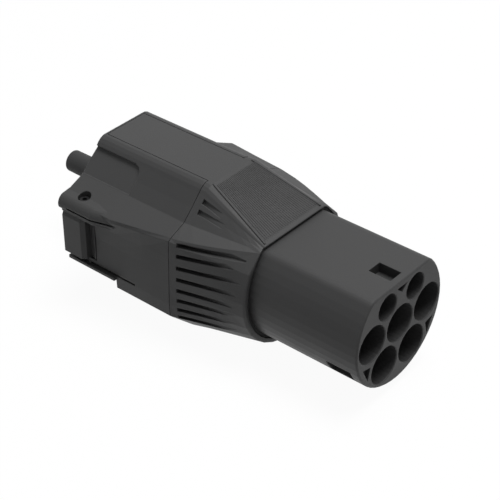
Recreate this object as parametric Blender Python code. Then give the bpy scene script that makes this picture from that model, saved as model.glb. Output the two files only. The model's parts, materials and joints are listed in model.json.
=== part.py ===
"""Seven-pin EV charging plug: D-shaped contact nose, grooved collar shell with a long top tongue, and a
boxy rear housing with a hinged side latch and a cable sleeve.

Metres, +Z up, +X out of the nose. The origin is on the flat underside, below the plug's axis. Meshes are
written about the plug's axis, which an empty carries at its height above the underside.
"""

import math

import bmesh
import bpy
from mathutils import Vector

# Lengths along the axis
NOSE_EXPOSED = 0.051
COLLAR_LENGTH = 0.035
HOUSING_LENGTH = 0.0565
HOUSING_FORWARD = 0.014
KINK_BEHIND_SEAM = 0.0285
REAR_LEAN = 0.0014
OVERRUN = 0.004
GAP = 0.0003

# Body section, as half widths and heights about the axis
BASE_STAND = 0.0038
BASE_HALF = 0.022
BODY_STAND = 0.0077
CHINE_DROP = 0.019
BELLY_SWELL = 0.0003
BELLY_DROP = 0.013
WALL_RISE = 0.001
WALL_LEAN = 0.0005
WALL_TOP_RISE = 0.017
LEDGE_INSET = 0.0014
LEDGE_RISE = 0.018
CREASE_HALF = 0.0254
CREASE_STAND = 0.0032
SHOULDER_HALF = 0.0206
ROLL_HALF = 0.0163
ROLL_DROP = 0.0032
CROWN_HALF = 0.0122
LID_HALF = 0.011
LID_STAND = 0.0134
KINK_FLARE = 0.0046
KINK_LEDGE_RISE = 0.0164
KINK_SWELL = 0.0005
KINK_EDGE = 0.0014

# Nose and its wells
NOSE_RADIUS = 0.0272
NOSE_CUT = 0.0071
NOSE_CORNER = 0.0045
NOSE_EDGE = 0.0006
NOSE_BLOCK = 0.048
NOSE_FROM_SEAM = 0.014
NOSE_SKIRT = 0.0024
WELL_RIM = 0.00155
WELL_WEB = 0.0012
WELL_DEPTH = 0.034
WELL_EDGE = 0.0003
LOCK_SETBACK = 0.0032
LOCK_LENGTH = 0.0101
LOCK_WIDTH = 0.007
LOCK_DEPTH = 0.0043
KEY_SETBACK = 0.0042
KEY_LENGTH = 0.0115
KEY_WIDTH = 0.0088
KEY_DEPTH = 0.0028
KEY_TURN = math.radians(57)
POCKET_DEPTH = 0.002

# Collar shell
LIP_STAND = 0.0038
LIP_ROUND = 0.001
LIP_CREST_INSET = 0.0095
LIP_CREST_STAND = 0.0001
LIP_CREASE_INSET = 0.0103
LIP_CREASE_STAND = 0.0006
LIP_ROLL_INSET = 0.0124
LIP_TOP_STAND = 0.0018
LIP_PANEL_INSET = 0.0138
MOUTH_CLEARANCE = 0.0016
MOUTH_FLAT_CLEARANCE = 0.0012
MOUTH_CORNER = 0.005
COLLAR_WALL = 0.0018
CAVITY_INSET = 0.006
PANEL_SETBACK = 0.003
RIDGE_WIDTH = 0.001
RIDGE_HEIGHT = 0.0006
RIDGE_ROOT = 0.0009
RIB_FIELD_SETBACK = 0.0036
RIB_FIELD_MARGIN = 0.0014
RIB_SIDE_MARGIN = 0.0002
RIB_HEIGHT = 0.00032
RIB_RUN_IN = 0.0012
RIB_ROOT = 0.0012
RIB_COUNT = 30
VENT_TOP = 0.0172
VENT_FIELD = 0.0344
VENT_HEIGHT = 0.0019
VENT_DEPTH = 0.0032
VENT_SETBACK = 0.0032
VENT_LENGTH = 0.0298
VENT_CLIMB = 0.0038
HIGH_VENT_LENGTH = 0.0165
HIGH_VENT_HEIGHT = 0.0021
HIGH_VENT_DEPTH = 0.0014
TONGUE_LENGTH = 0.055
TONGUE_THICKNESS = 0.0024
SPIGOT_LENGTH = 0.004
SPIGOT_WALL = 0.0018

# Rear housing
HOUSING_WALL = 0.0025
ROOF_DROP = 0.0042
SHELF = 0.002
RIM_ROUND = 0.0007
BEAD_RADIUS = 0.004
BEAD_INSET = 0.0016
BEAD_RISE = 0.0136
BEAD_RUN_IN = 0.0095
BEAD_SUNK = 0.003
BEAD_FLANK = 0.0022
BLOCK_LOW = 0.0098
SLIT_WIDTH = 0.0009
SLIT_DEPTH = 0.0016
SLIT_RISE = 0.0127
SLIT_FRONT = 0.0265
SLIT_LENGTH = 0.0245
LIP_BLOCK_STAND = 0.002
LIP_BLOCK_TOP = 0.0129
LIP_BLOCK_LENGTH = 0.0262
LIP_BLOCK_HEIGHT = 0.0014
LOW_SLIT_DROP = 0.0121
LOW_SLIT_FRONT = 0.019
LOW_SLIT_LENGTH = 0.025
GRIP_LENGTH = 0.0265
GRIP_DEPTH = 0.0016
GRIP_RUN_IN = 0.004
UNDERCUT_DEPTH = 0.0037
UNDERCUT_FRONT = 0.0297
FAR_CUT_START = 0.032
FAR_CUT_INSET = 0.0025
FAR_CUT_RUN = 0.003

# Side latch
LATCH_STAND = 0.0036
LATCH_TOP = 0.0095
LATCH_LOW = 0.010
LATCH_LENGTH = 0.0114
LATCH_STEP = 0.0005
LATCH_BEVEL = 0.0016
LATCH_SIDE_GAP = 0.0004
WINDOW_LENGTH = 0.0162
PIVOT_FROM_REAR = 0.0101
PIVOT_INSET = 0.0011
PIN_RADIUS = 0.0015
PIN_HEAD_RADIUS = 0.0025
PIN_HEAD_HEIGHT = 0.0016
PIN_HOLE_RADIUS = 0.0028
PIN_HEAD_RISE = 0.0149
PIN_SEAT = 0.003
PIN_BLOCK = 0.006
BARREL_RADIUS = 0.0023
BOSS_HALF_LENGTH = 0.0036
BOSS_REACH = 0.0036
ARM_INSET = 0.0079
ARM_THICKNESS = 0.0018
WEB_INSET = 0.0007
WEB_THICKNESS = 0.0015
WEB_SLOPE = 0.0021
WEB_END_GAP = 0.00045
ARM_LENGTH = 0.014
ARM_HEIGHT = 0.008
CATCH_DEPTH = 0.0016
SPRING_RADIUS = 0.0021
SPRING_WIRE = 0.00035
SPRING_TURNS = 5
SPRING_FROM_REAR = 0.0036
SPRING_SEAT_INSET = 0.0092
SPRING_SEAT_THICKNESS = 0.002
SPRING_SEAT_HEIGHT = 0.009
SPRING_SEAT_REACH = 0.007

# Pins and what holds them
PIN_TIP_SETBACK = 0.013
SIGNAL_TIP_SETBACK = 0.0165
POWER_PIN_RADIUS = 0.003
SIGNAL_PIN_RADIUS = 0.0015
FLANGE_GROWTH = 0.0025
FLANGE_LENGTH = 0.0034
CUP_GROWTH = 0.0011
CUP_LENGTH = 0.014
CUP_BORE_DEPTH = 0.010
CUP_WALL = 0.0012
RETAINER_THICKNESS = 0.004
EAR_THICKNESS = 0.004
EAR_RADIUS = 0.0021
EAR_STAND = 0.0028
TOP_EAR_HALF = 0.012
TOP_EAR_STAND = 0.0032
SEAL_FROM_EARS = 0.0016
SEAL_WIDTH = 0.0021
SEAL_DEPTH = 0.0012
SEAL_STAND = 0.0003

# Screws
SCREW_RADIUS = 0.00125
SCREW_HEAD_RADIUS = 0.0022
SCREW_HEAD_HEIGHT = 0.0016
SCREW_GRIP = 0.006
SOCKET_RADIUS = 0.0011
SOCKET_DEPTH = 0.0009

# Rear cover, cable sleeve and clamp
COVER_THICKNESS = 0.0025
COVER_SETBACK = 0.0012
SLEEVE_RISE = 0.002
SLEEVE_RADIUS = 0.0052
SLEEVE_END_RADIUS = 0.00485
SLEEVE_REACH = 0.0347
SLEEVE_EDGE = 0.0003
SLEEVE_FLANGE_RADIUS = 0.0075
SLEEVE_FLANGE = 0.0025
SLEEVE_TAIL = 0.012
CRADLE_HALF = 0.0125
CRADLE_LENGTH = 0.008
CRADLE_START = 0.0036
CRADLE_DROP = 0.009
CLAMP_HEIGHT = 0.0055
CLAMP_BRIDGE = 0.0012
CLAMP_SCREW_SIDE = 0.0092

SHOULDER_SHARE = 0.4945
SIGNAL_WELL_SHARE = 0.691
SIGNAL_SIDE_SHARE = 0.503
SIGNAL_RISE_SHARE = 0.7086
TOP_POCKET_SHARES = ((0, 0.54), (0.1213, 0.647), (-0.1213, 0.647))
SIDE_POCKET_SHARES = ((0.8382, -0.3419), (0.6544, -0.3824), (0.7096, -0.6029))
EAR_TURN = math.radians(45)
CHINE_SHARES = (1 / 3, 2 / 3)
LIP_ANGLES = tuple(math.radians(turn) for turn in (0, 11, 24, 35, 46, 57, 68, 80, 92, 104, 116))
ROLL_SHARES = ((0.27, 0.42), (0.62, 0.78), (1.0, 0.98))
PANEL_START_SHARE = PANEL_SETBACK / (COLLAR_LENGTH - LIP_ROUND)
STATION_SHARES = (0, PANEL_START_SHARE, 0.3, 0.5, 0.7, 0.85, 1)
LIP_SHARES = (0.35, 0.75, 1)
RIDGE_SHARES = ((0, 0.4), (0.02, 0.8), (0.05, 1), (1, 1))
RIDGE_TOP_SHARE = 0.6
VENT_SHARES = (
    (1, 0.4, 0.95),
    (0.858, 1, 0.84),
    (0.698, 1.1, 0.98),
    (0.541, 1.05, 1),
    (0.387, 0.95, 1),
    (0.244, 1, 0.98),
    (0.113, 0.9, 0.94),
    (0, 0.65, 0.87),
)
HIGH_VENT_SHARES = ((0.48, 1), (0.84, 0.76))
PIN_TIP_SHARES = ((0.45, 0.85), (0.12, 0.5), (0, 0.2))
SOCKET_STAR_SHARE = 0.8
SCREW_CROWN_SHARE = 0.8
PIN_CROWN_SHARE = 0.85
PIN_END_SHARE = 0.7
MITRE_LIMIT_SHARE = 0.3
ROUND_SMOOTHING = math.radians(35)
BODY_SMOOTHING = math.radians(24)
EAR_STEPS = 8
BEAD_STEPS = 8
BEAD_START = math.radians(200)
BEAD_TURN = math.radians(110)
RIB_PROFILE_SHARES = ((0.05, -0.5), (0.3, 1), (0.7, 1), (0.95, -0.5))
GRIP_FOOT_SHARE = 0.03
GRIP_END_SHARES = ((0, 0.6), (0.12, 0.78), (0.4, 0.93), (1, 1))
CREST_POWER = 1.35

NOSE_LENGTH = NOSE_EXPOSED + COLLAR_LENGTH - NOSE_FROM_SEAM
NOSE_FLAT = NOSE_RADIUS - NOSE_CUT
WELL_RADIUS = (NOSE_RADIUS - WELL_RIM - WELL_WEB) / 3
WELL_PITCH = 2 * WELL_RADIUS + WELL_WEB
SIGNAL_WELL_RADIUS = WELL_RADIUS * SIGNAL_WELL_SHARE
SIGNAL_SIDE = WELL_PITCH * SIGNAL_SIDE_SHARE
SIGNAL_RISE = WELL_PITCH * SIGNAL_RISE_SHARE
TOP_POCKET = [(NOSE_RADIUS * side, NOSE_RADIUS * rise) for side, rise in TOP_POCKET_SHARES]
SIDE_POCKET = [(NOSE_RADIUS * side, NOSE_RADIUS * rise) for side, rise in SIDE_POCKET_SHARES]
RETAINER_SCREW_SIDE = WELL_PITCH / 2
RETAINER_SCREW_RISE = WELL_PITCH / math.sqrt(3)
RETAINER_SCREW_DROP = RETAINER_SCREW_RISE / 2
EAR_HALF = (NOSE_RADIUS + EAR_STAND) * math.sin(EAR_TURN)
EAR_DROP = (NOSE_RADIUS + EAR_STAND) * math.cos(EAR_TURN)
TOP_EAR_RISE = NOSE_FLAT + TOP_EAR_STAND

LIP_RADIUS = NOSE_RADIUS + LIP_STAND
LIP_CREST_HALF = LIP_RADIUS - LIP_CREST_INSET
LIP_CREST_RISE = NOSE_FLAT + LIP_CREST_STAND
LIP_CREASE_HALF = LIP_RADIUS - LIP_CREASE_INSET
LIP_CREASE_RISE = NOSE_FLAT + LIP_CREASE_STAND
LIP_ROLL_HALF = LIP_RADIUS - LIP_ROLL_INSET
LIP_TOP_RISE = NOSE_FLAT + LIP_TOP_STAND
LIP_PANEL_HALF = LIP_RADIUS - LIP_PANEL_INSET
MOUTH_RADIUS = NOSE_RADIUS + MOUTH_CLEARANCE
MOUTH_FLAT = NOSE_FLAT + MOUTH_FLAT_CLEARANCE

BASE_DROP = NOSE_RADIUS + BASE_STAND
WALL_HALF = NOSE_RADIUS + BODY_STAND
TOP_RISE = NOSE_FLAT + LID_STAND
ROLL_RISE = TOP_RISE - ROLL_DROP
ROOF_RISE = TOP_RISE - ROOF_DROP
CREASE_RISE = LEDGE_RISE + CREASE_STAND
SHOULDER_RISE = CREASE_RISE + (ROLL_RISE - CREASE_RISE) * SHOULDER_SHARE
CHINE_HALF = WALL_HALF
BELLY_HALF = WALL_HALF + BELLY_SWELL
WALL_TOP_HALF = WALL_HALF - WALL_LEAN
LEDGE_HALF = WALL_TOP_HALF - LEDGE_INSET
KINK_LEDGE_HALF = LEDGE_HALF + KINK_FLARE
KINK_WALL_HALF = WALL_HALF + KINK_SWELL
CAVITY_HALF = WALL_HALF - CAVITY_INSET
BEAD_HALF = KINK_LEDGE_HALF - BEAD_INSET
BEAD_FLANK_HALF = BEAD_HALF + BEAD_FLANK
LIP_BLOCK_HALF = WALL_HALF + LIP_BLOCK_STAND
FAR_CUT_HALF = LEDGE_HALF - FAR_CUT_INSET
LATCH_HALF = WALL_HALF + LATCH_STAND
PIVOT_HALF = WALL_HALF - PIVOT_INSET
LATCH_INNER_HALF = PIVOT_HALF + LATCH_STEP
ARM_HALF = PIVOT_HALF - ARM_INSET
WEB_HALF = PIVOT_HALF - WEB_INSET
SPRING_SEAT_HALF = PIVOT_HALF - SPRING_SEAT_INSET

BODY_REACH = BELLY_HALF + BASE_DROP
UNDERCUT_TURN = math.atan2(BASE_DROP - CHINE_DROP, CHINE_HALF - BASE_HALF)
CHINE_REACH = CHINE_HALF * math.sin(UNDERCUT_TURN) + CHINE_DROP * math.cos(UNDERCUT_TURN)
UNDERCUT_REACH = CHINE_REACH - UNDERCUT_DEPTH
UNDERCUT_FAR = UNDERCUT_REACH + BASE_DROP
UNDERCUT_CORNERS = ((UNDERCUT_REACH, -1), (UNDERCUT_FAR, -1), (UNDERCUT_FAR, 1), (UNDERCUT_REACH, 1))

SEAM_X = HOUSING_FORWARD
LIP_X = SEAM_X + COLLAR_LENGTH
FACE_X = LIP_X + NOSE_EXPOSED
REAR_X = SEAM_X - HOUSING_LENGTH
KINK_X = SEAM_X - KINK_BEHIND_SEAM
BLOCK_X = FACE_X - NOSE_BLOCK
NOSE_BACK_X = FACE_X - NOSE_LENGTH
EAR_X = NOSE_BACK_X + EAR_THICKNESS
PANEL_X = SEAM_X + PANEL_SETBACK
PIVOT_X = REAR_X + PIVOT_FROM_REAR
COVER_X = REAR_X + REAR_LEAN + COVER_SETBACK
TONGUE_X = SEAM_X - TONGUE_LENGTH


# Scene and materials


def clear_scene():
    """Removes every object of the open scene."""
    for obj in list(bpy.data.objects):
        bpy.data.objects.remove(obj, do_unlink=True)


def make_material(name, colour, roughness, metallic=0.0):
    """A plain surface of one colour."""
    material = bpy.data.materials.new(name)
    material.use_nodes = True
    surface = material.node_tree.nodes["Principled BSDF"]
    surface.inputs["Base Color"].default_value = (*colour, 1.0)
    surface.inputs["Roughness"].default_value = roughness
    surface.inputs["Metallic"].default_value = metallic
    material.diffuse_color = (*colour, 1.0)
    return material


clear_scene()
AXIS = bpy.data.objects.new("plug_axis", None)
AXIS.location = (0, 0, BASE_DROP)
bpy.context.scene.collection.objects.link(AXIS)

SHELL_PLASTIC = make_material("shell_plastic", (0.075, 0.075, 0.077), 0.6)
INNER_PLASTIC = make_material("inner_plastic", (0.05, 0.05, 0.052), 0.65)
RUBBER = make_material("rubber", (0.03, 0.03, 0.032), 0.8)
CONTACT_METAL = make_material("contact_metal", (0.75, 0.74, 0.72), 0.3, 1.0)
STEEL = make_material("steel", (0.55, 0.55, 0.56), 0.35, 1.0)
DARK_STEEL = make_material("dark_steel", (0.05, 0.05, 0.05), 0.5, 1.0)


# Mesh helpers


def add_object(name, bm, material, smooth_angle=None):
    """Makes an object of the finished bmesh, on the plug's axis, with its faces pointing out."""
    bmesh.ops.recalc_face_normals(bm, faces=bm.faces)
    if bm.calc_volume(signed=True) < 0:
        bmesh.ops.reverse_faces(bm, faces=bm.faces)
    mesh = bpy.data.meshes.new(name)
    bm.to_mesh(mesh)
    bm.free()
    obj = bpy.data.objects.new(name, mesh)
    bpy.context.scene.collection.objects.link(obj)
    obj.parent = AXIS
    if material:
        mesh.materials.append(material)
    if smooth_angle:
        mesh.shade_smooth()
        mesh.set_sharp_from_angle(angle=smooth_angle)
    return obj


def skin(bm, rings):
    """Joins rings of equal count with faces and closes both ends."""
    loops = [[bm.verts.new(point) for point in ring] for ring in rings]
    for first, second in zip(loops, loops[1:]):
        for index in range(len(first)):
            after = (index + 1) % len(first)
            bm.faces.new((first[index], first[after], second[after], second[index]))
    bm.faces.new(loops[0])
    bm.faces.new(list(reversed(loops[-1])))


def loft(name, rings, material=None, smooth_angle=None):
    """One solid skinned through the rings."""
    bm = bmesh.new()
    skin(bm, rings)
    return add_object(name, bm, material, smooth_angle)


def placed(outline, x):
    """The outline's (side, rise) points at one place along the axis."""
    return [Vector((x, side, rise)) for side, rise in outline]


def prism(name, outline, start, end, material=None):
    """The outline run straight along the axis."""
    return loft(name, [placed(outline, start), placed(outline, end)], material)


def box_rings(low, high):
    """The two end rings of a box between two corners."""
    outline = [(low[1], low[2]), (high[1], low[2]), (high[1], high[2]), (low[1], high[2])]
    return [placed(outline, low[0]), placed(outline, high[0])]


def box(name, low, high, material=None):
    """A box between two corners."""
    return loft(name, box_rings(low, high), material)


def turned_rings(centre, along, profile, segments, socket_steps=0):
    """Rings of a turned profile of (distance, radius) about a line; the first ones may be star shaped."""
    along = Vector(along).normalized()
    first = along.orthogonal().normalized()
    second = along.cross(first)
    rings = []
    for step, (distance, radius) in enumerate(profile):
        ring = []
        for index in range(segments):
            angle = math.tau * index / segments
            reach = radius * (SOCKET_STAR_SHARE if step < socket_steps and index % 2 else 1)
            offset = first * math.cos(angle) + second * math.sin(angle)
            ring.append(Vector(centre) + along * distance + offset * reach)
        rings.append(ring)
    return rings


def turned(name, centre, along, profile, material=None, segments=20, socket_steps=0):
    """One turned solid, whose first and last rings are closed flat."""
    rings = turned_rings(centre, along, profile, segments, socket_steps)
    return loft(name, rings, material, ROUND_SMOOTHING)


def several(name, sets_of_rings):
    """One cutter object that holds several separate solids."""
    bm = bmesh.new()
    for rings in sets_of_rings:
        skin(bm, rings)
    return add_object(name, bm, None)


def combine(target, tool, operation):
    """Cuts the tool from the target, or joins it on, and hides the tool."""
    tool.hide_render = True
    tool.display_type = "WIRE"
    modifier = target.modifiers.new(tool.name, "BOOLEAN")
    modifier.operation = operation
    modifier.solver = "EXACT"
    modifier.object = tool


def cut(target, tool):
    """Takes the tool's volume out of the target."""
    combine(target, tool, "DIFFERENCE")


def join(target, tool):
    """Adds the tool's volume to the target."""
    combine(target, tool, "UNION")


# Outlines


def mix(first, second, share):
    """The point at this share of the way between two."""
    return tuple(a + (b - a) * share for a, b in zip(first, second))


def whole(half):
    """A closed outline from its +Y half, which runs from the bottom centre to the top centre."""
    return half + [(-side, rise) for side, rise in reversed(half[1:-1])]


def dee(radius, flat, corner, segments=36):
    """A circle with a flat top and rounded corners beside the flat."""
    height = flat - corner
    side = math.sqrt((radius - corner) ** 2 - height ** 2)
    turn = math.atan2(height, side)
    steps = 4
    right = []
    for index in range(steps + 1):
        angle = math.pi / 2 + (turn - math.pi / 2) * index / steps
        right.append((side + corner * math.cos(angle), height + corner * math.sin(angle)))
    arc = []
    for index in range(1, segments):
        angle = turn - (math.pi + 2 * turn) * index / segments
        arc.append((radius * math.cos(angle), radius * math.sin(angle)))
    left = [(-y, z) for y, z in reversed(right)]
    return right + arc + left


def offset_outline(outline, distance):
    """The closed outline moved inwards by the distance, with mitred corners."""
    count = len(outline)
    area = sum(
        outline[i][0] * outline[(i + 1) % count][1] - outline[(i + 1) % count][0] * outline[i][1]
        for i in range(count)
    )
    side = 1 if area > 0 else -1
    moved = []
    for index in range(count):
        here = Vector(outline[index])
        before = (here - Vector(outline[index - 1])).normalized()
        after = (Vector(outline[(index + 1) % count]) - here).normalized()
        normal_before = Vector((-before.y, before.x)) * side
        normal_after = Vector((-after.y, after.x)) * side
        bisector = (normal_before + normal_after).normalized()
        moved.append(tuple(here + bisector * distance / max(bisector.dot(normal_after), MITRE_LIMIT_SHARE)))
    return moved


def inside(half, wall):
    """The closed outline a wall's thickness inside a half section, with its small edges left square."""
    crest = len(LIP_ANGLES)
    dropped = (crest - 1, crest + 4, crest + 5, crest + 6)
    return offset_outline(whole([p for i, p in enumerate(half) if i not in dropped]), wall)


def limited(outline, half=None, top=None):
    """The outline kept within a half width and below a height."""
    points = []
    for side, rise in outline:
        if half:
            side = max(-half, min(half, side))
        if top:
            rise = min(rise, top)
        points.append((side, rise))
    return points


def roll_points(start, end):
    """The points of a rounded edge between its start and the flat at its end."""
    width = end[0] - start[0]
    height = end[1] - start[1]
    return [(start[0] + width * along, start[1] + height * up) for along, up in ROLL_SHARES]


def body_half(ledge, wall_top, wall_mid):
    """Half section of the body; the ledge's edge and the wall below it move out towards the rear."""
    base = (BASE_HALF, -BASE_DROP)
    chine = (CHINE_HALF, -CHINE_DROP)
    belly = (BELLY_HALF, -BELLY_DROP)
    wall = (WALL_HALF, WALL_RISE)
    roll = (ROLL_HALF, ROLL_RISE)
    crown = (CROWN_HALF, TOP_RISE)
    half = [(0, -BASE_DROP), (BASE_HALF / 2, -BASE_DROP), base]
    half += [mix(base, chine, share) for share in CHINE_SHARES]
    half += [chine, belly, mix(belly, wall, 0.5), wall, wall_mid, wall_top, ledge]
    half += [(CREASE_HALF, CREASE_RISE), (SHOULDER_HALF, SHOULDER_RISE), roll]
    half += roll_points(roll, crown)
    half += [(LID_HALF, TOP_RISE), (0, TOP_RISE)]
    return half


def seam_half():
    """Half section at the seam between the two shells."""
    wall_top = (WALL_TOP_HALF, WALL_TOP_RISE)
    return body_half((LEDGE_HALF, LEDGE_RISE), wall_top, mix((WALL_HALF, WALL_RISE), wall_top, 0.5))


def kink_half():
    """Half section behind the kink of the ledge's edge."""
    wall_top = (KINK_LEDGE_HALF, KINK_LEDGE_RISE - KINK_EDGE)
    return body_half((KINK_LEDGE_HALF, KINK_LEDGE_RISE), wall_top, (KINK_WALL_HALF, WALL_TOP_RISE / 2))


def lip_half():
    """Half section at the front lip, round below and flat on top."""
    half = [(LIP_RADIUS * math.sin(turn), -LIP_RADIUS * math.cos(turn)) for turn in LIP_ANGLES]
    crease = (LIP_CREASE_HALF, LIP_CREASE_RISE)
    roll = (LIP_ROLL_HALF, (LIP_CREASE_RISE + LIP_TOP_RISE) / 2)
    edge = (LIP_PANEL_HALF + RIDGE_WIDTH / 2, LIP_TOP_RISE)
    half += [(LIP_CREST_HALF, LIP_CREST_RISE), crease, mix(crease, roll, 0.5), roll]
    half += roll_points(roll, edge)
    half += [(LIP_PANEL_HALF, LIP_TOP_RISE), (0, LIP_TOP_RISE)]
    return half


def collar_half(share):
    """Half section of the collar at this share of the way from the seam to the lip."""
    rear = seam_half()
    front = lip_half()
    crest = len(LIP_ANGLES)
    half = []
    for index, (behind, ahead) in enumerate(zip(rear, front)):
        eased = share ** CREST_POWER if index == crest else share
        side = behind[0] + (ahead[0] - behind[0]) * eased
        rise = behind[1] + (ahead[1] - behind[1]) * share
        if index > crest + 1:
            rise = behind[1] + (ahead[1] - behind[1]) * panel_share(share)
        half.append((side, rise))
    return half


def panel_share(share):
    """How far the sloped panel has come down at this share of the collar."""
    return max(0, (share - PANEL_START_SHARE) / (1 - PANEL_START_SHARE))


def collar_x(share):
    """Place along the axis at this share of the collar."""
    return SEAM_X + (COLLAR_LENGTH - LIP_ROUND) * share


def panel_rise(x):
    """Height of the sloped top panel."""
    return TOP_RISE + (LIP_TOP_RISE - TOP_RISE) * panel_share((x - SEAM_X) / (COLLAR_LENGTH - LIP_ROUND))


def panel_half(x):
    """Half width of the sloped top panel."""
    share = (x - SEAM_X) / (COLLAR_LENGTH - LIP_ROUND)
    return LID_HALF + (LIP_PANEL_HALF - LID_HALF) * share


def wall_side(x, rise):
    """Half width of the collar's side wall at a height."""
    half = collar_half((x - SEAM_X) / (COLLAR_LENGTH - LIP_ROUND))
    for low, high in zip(half, half[1:]):
        if low[1] <= rise <= high[1] and high[1] > low[1]:
            return mix(low, high, (rise - low[1]) / (high[1] - low[1]))[0]
    return half[-1][0]


# Nose


POWER_PLACES = {
    "earth": (0, 0),
    "neutral": (WELL_PITCH, 0),
    "line_1": (-WELL_PITCH, 0),
    "line_2": (-WELL_PITCH / 2, -WELL_PITCH * math.sqrt(3) / 2),
    "line_3": (WELL_PITCH / 2, -WELL_PITCH * math.sqrt(3) / 2),
}
SIGNAL_PLACES = {
    "pilot": (SIGNAL_SIDE, SIGNAL_RISE),
    "proximity": (-SIGNAL_SIDE, SIGNAL_RISE),
}
RETAINER_SCREW_PLACES = (
    (RETAINER_SCREW_SIDE, -RETAINER_SCREW_DROP),
    (-RETAINER_SCREW_SIDE, -RETAINER_SCREW_DROP),
    (0, RETAINER_SCREW_RISE),
)
EAR_PLACES = (
    (EAR_HALF, -EAR_DROP),
    (-EAR_HALF, -EAR_DROP),
    (TOP_EAR_HALF, TOP_EAR_RISE),
    (-TOP_EAR_HALF, TOP_EAR_RISE),
)


def well_profile(radius):
    """Turned profile of a well, chamfered at its mouth."""
    mouth = radius + WELL_EDGE
    return [(OVERRUN, mouth), (0, mouth), (-WELL_EDGE, radius), (-WELL_DEPTH, radius)]


def shank_profile(radius):
    """Turned profile of a pin's bore and of its flange's counterbore, from the well's floor to the rear."""
    bore = radius + GAP
    seat = radius + FLANGE_GROWTH + GAP
    depth = NOSE_BLOCK - FLANGE_LENGTH - GAP
    return [(-WELL_DEPTH + OVERRUN, bore), (-depth, bore), (-depth, seat), (-NOSE_BLOCK - OVERRUN, seat)]


def nose_wells():
    """Cutter of all seven wells."""
    sets = []
    for places, radius in ((POWER_PLACES, WELL_RADIUS), (SIGNAL_PLACES, SIGNAL_WELL_RADIUS)):
        for side, rise in places.values():
            sets.append(turned_rings((FACE_X, side, rise), (1, 0, 0), well_profile(radius), 24))
    return several("well_cutter", sets)


def nose_bores():
    """Cutter of the pin bores behind the wells, and of the retainer's screw holes."""
    sets = []
    for places, radius in ((POWER_PLACES, POWER_PIN_RADIUS), (SIGNAL_PLACES, SIGNAL_PIN_RADIUS)):
        for side, rise in places.values():
            sets.append(turned_rings((FACE_X, side, rise), (1, 0, 0), shank_profile(radius), 14))
    hole = SCREW_RADIUS + GAP
    for side, rise in RETAINER_SCREW_PLACES:
        profile = [(SCREW_GRIP + GAP, hole), (-OVERRUN, hole)]
        sets.append(turned_rings((BLOCK_X, side, rise), (1, 0, 0), profile, 12))
    return several("bore_cutter", sets)


def face_pockets():
    """Cutter of the three small pockets in the face."""
    sets = []
    for outline in (TOP_POCKET, SIDE_POCKET, [(-side, rise) for side, rise in SIDE_POCKET]):
        sets.append([placed(outline, FACE_X - POCKET_DEPTH), placed(outline, FACE_X + OVERRUN)])
    return several("pocket_cutter", sets)


def lock_slots():
    """Cutter of the lock slot in the flat and of the two shallow key slots below."""
    front = FACE_X - LOCK_SETBACK
    sets = [box_rings(
        (front - LOCK_LENGTH, -LOCK_WIDTH / 2, NOSE_FLAT - LOCK_DEPTH),
        (front, LOCK_WIDTH / 2, NOSE_FLAT + OVERRUN),
    )]
    front = FACE_X - KEY_SETBACK
    for sign in (1, -1):
        out = Vector((0, sign * math.sin(KEY_TURN), -math.cos(KEY_TURN)))
        across = Vector((0, out.z, -out.y))
        corners = []
        for reach in (NOSE_RADIUS - KEY_DEPTH, NOSE_RADIUS + OVERRUN):
            for half in (-KEY_WIDTH / 2, KEY_WIDTH / 2):
                corners.append(out * reach + across * half)
        ring = [corners[0], corners[1], corners[3], corners[2]]
        sets.append([[Vector((x, 0, 0)) + point for point in ring] for x in (front - KEY_LENGTH, front)])
    return several("slot_cutter", sets)


def make_nose():
    """The D-shaped nose: seven wells, a hollow skirt behind them and four screw ears."""
    outline = dee(NOSE_RADIUS, NOSE_FLAT, NOSE_CORNER)
    small = dee(NOSE_RADIUS - NOSE_EDGE, NOSE_FLAT - NOSE_EDGE, NOSE_CORNER)
    rings = [placed(outline, NOSE_BACK_X), placed(outline, FACE_X - NOSE_EDGE), placed(small, FACE_X)]
    nose = loft("nose_shell", rings, SHELL_PLASTIC, ROUND_SMOOTHING)
    ears = []
    for side, rise in EAR_PLACES:
        out = Vector((0, side, rise)).normalized()
        across = Vector((0, -out.z, out.y)) * EAR_RADIUS
        centre = Vector((0, side, rise))
        root = centre - out * (centre.length - NOSE_FLAT + NOSE_SKIRT / 2)
        ring = [root + across, centre + across]
        for index in range(1, EAR_STEPS):
            angle = math.pi * index / EAR_STEPS
            ring.append(centre + across * math.cos(angle) + out * EAR_RADIUS * math.sin(angle))
        ring += [centre - across, root - across]
        ears.append([[Vector((x, 0, 0)) + point for point in ring] for x in (NOSE_BACK_X, EAR_X)])
    join(nose, several("ear_tool", ears))
    hollow = dee(NOSE_RADIUS - NOSE_SKIRT, NOSE_FLAT - NOSE_SKIRT, NOSE_CORNER)
    cut(nose, prism("skirt_cutter", hollow, NOSE_BACK_X - OVERRUN, BLOCK_X))
    cut(nose, nose_wells())
    cut(nose, nose_bores())
    cut(nose, face_pockets())
    cut(nose, lock_slots())
    holes = []
    for side, rise in EAR_PLACES:
        profile = [(-OVERRUN, SCREW_RADIUS + GAP), (EAR_THICKNESS + OVERRUN, SCREW_RADIUS + GAP)]
        holes.append(turned_rings((NOSE_BACK_X, side, rise), (1, 0, 0), profile, 12))
    cut(nose, several("ear_hole_cutter", holes))
    groove_start = EAR_X + SEAL_FROM_EARS
    inner = dee(NOSE_RADIUS - SEAL_DEPTH, NOSE_FLAT - SEAL_DEPTH, NOSE_CORNER)
    outer = dee(NOSE_RADIUS + OVERRUN, NOSE_FLAT + OVERRUN, NOSE_CORNER)
    cut(nose, band("seal_groove_cutter", inner, outer, groove_start, groove_start + SEAL_WIDTH))
    return nose


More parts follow.
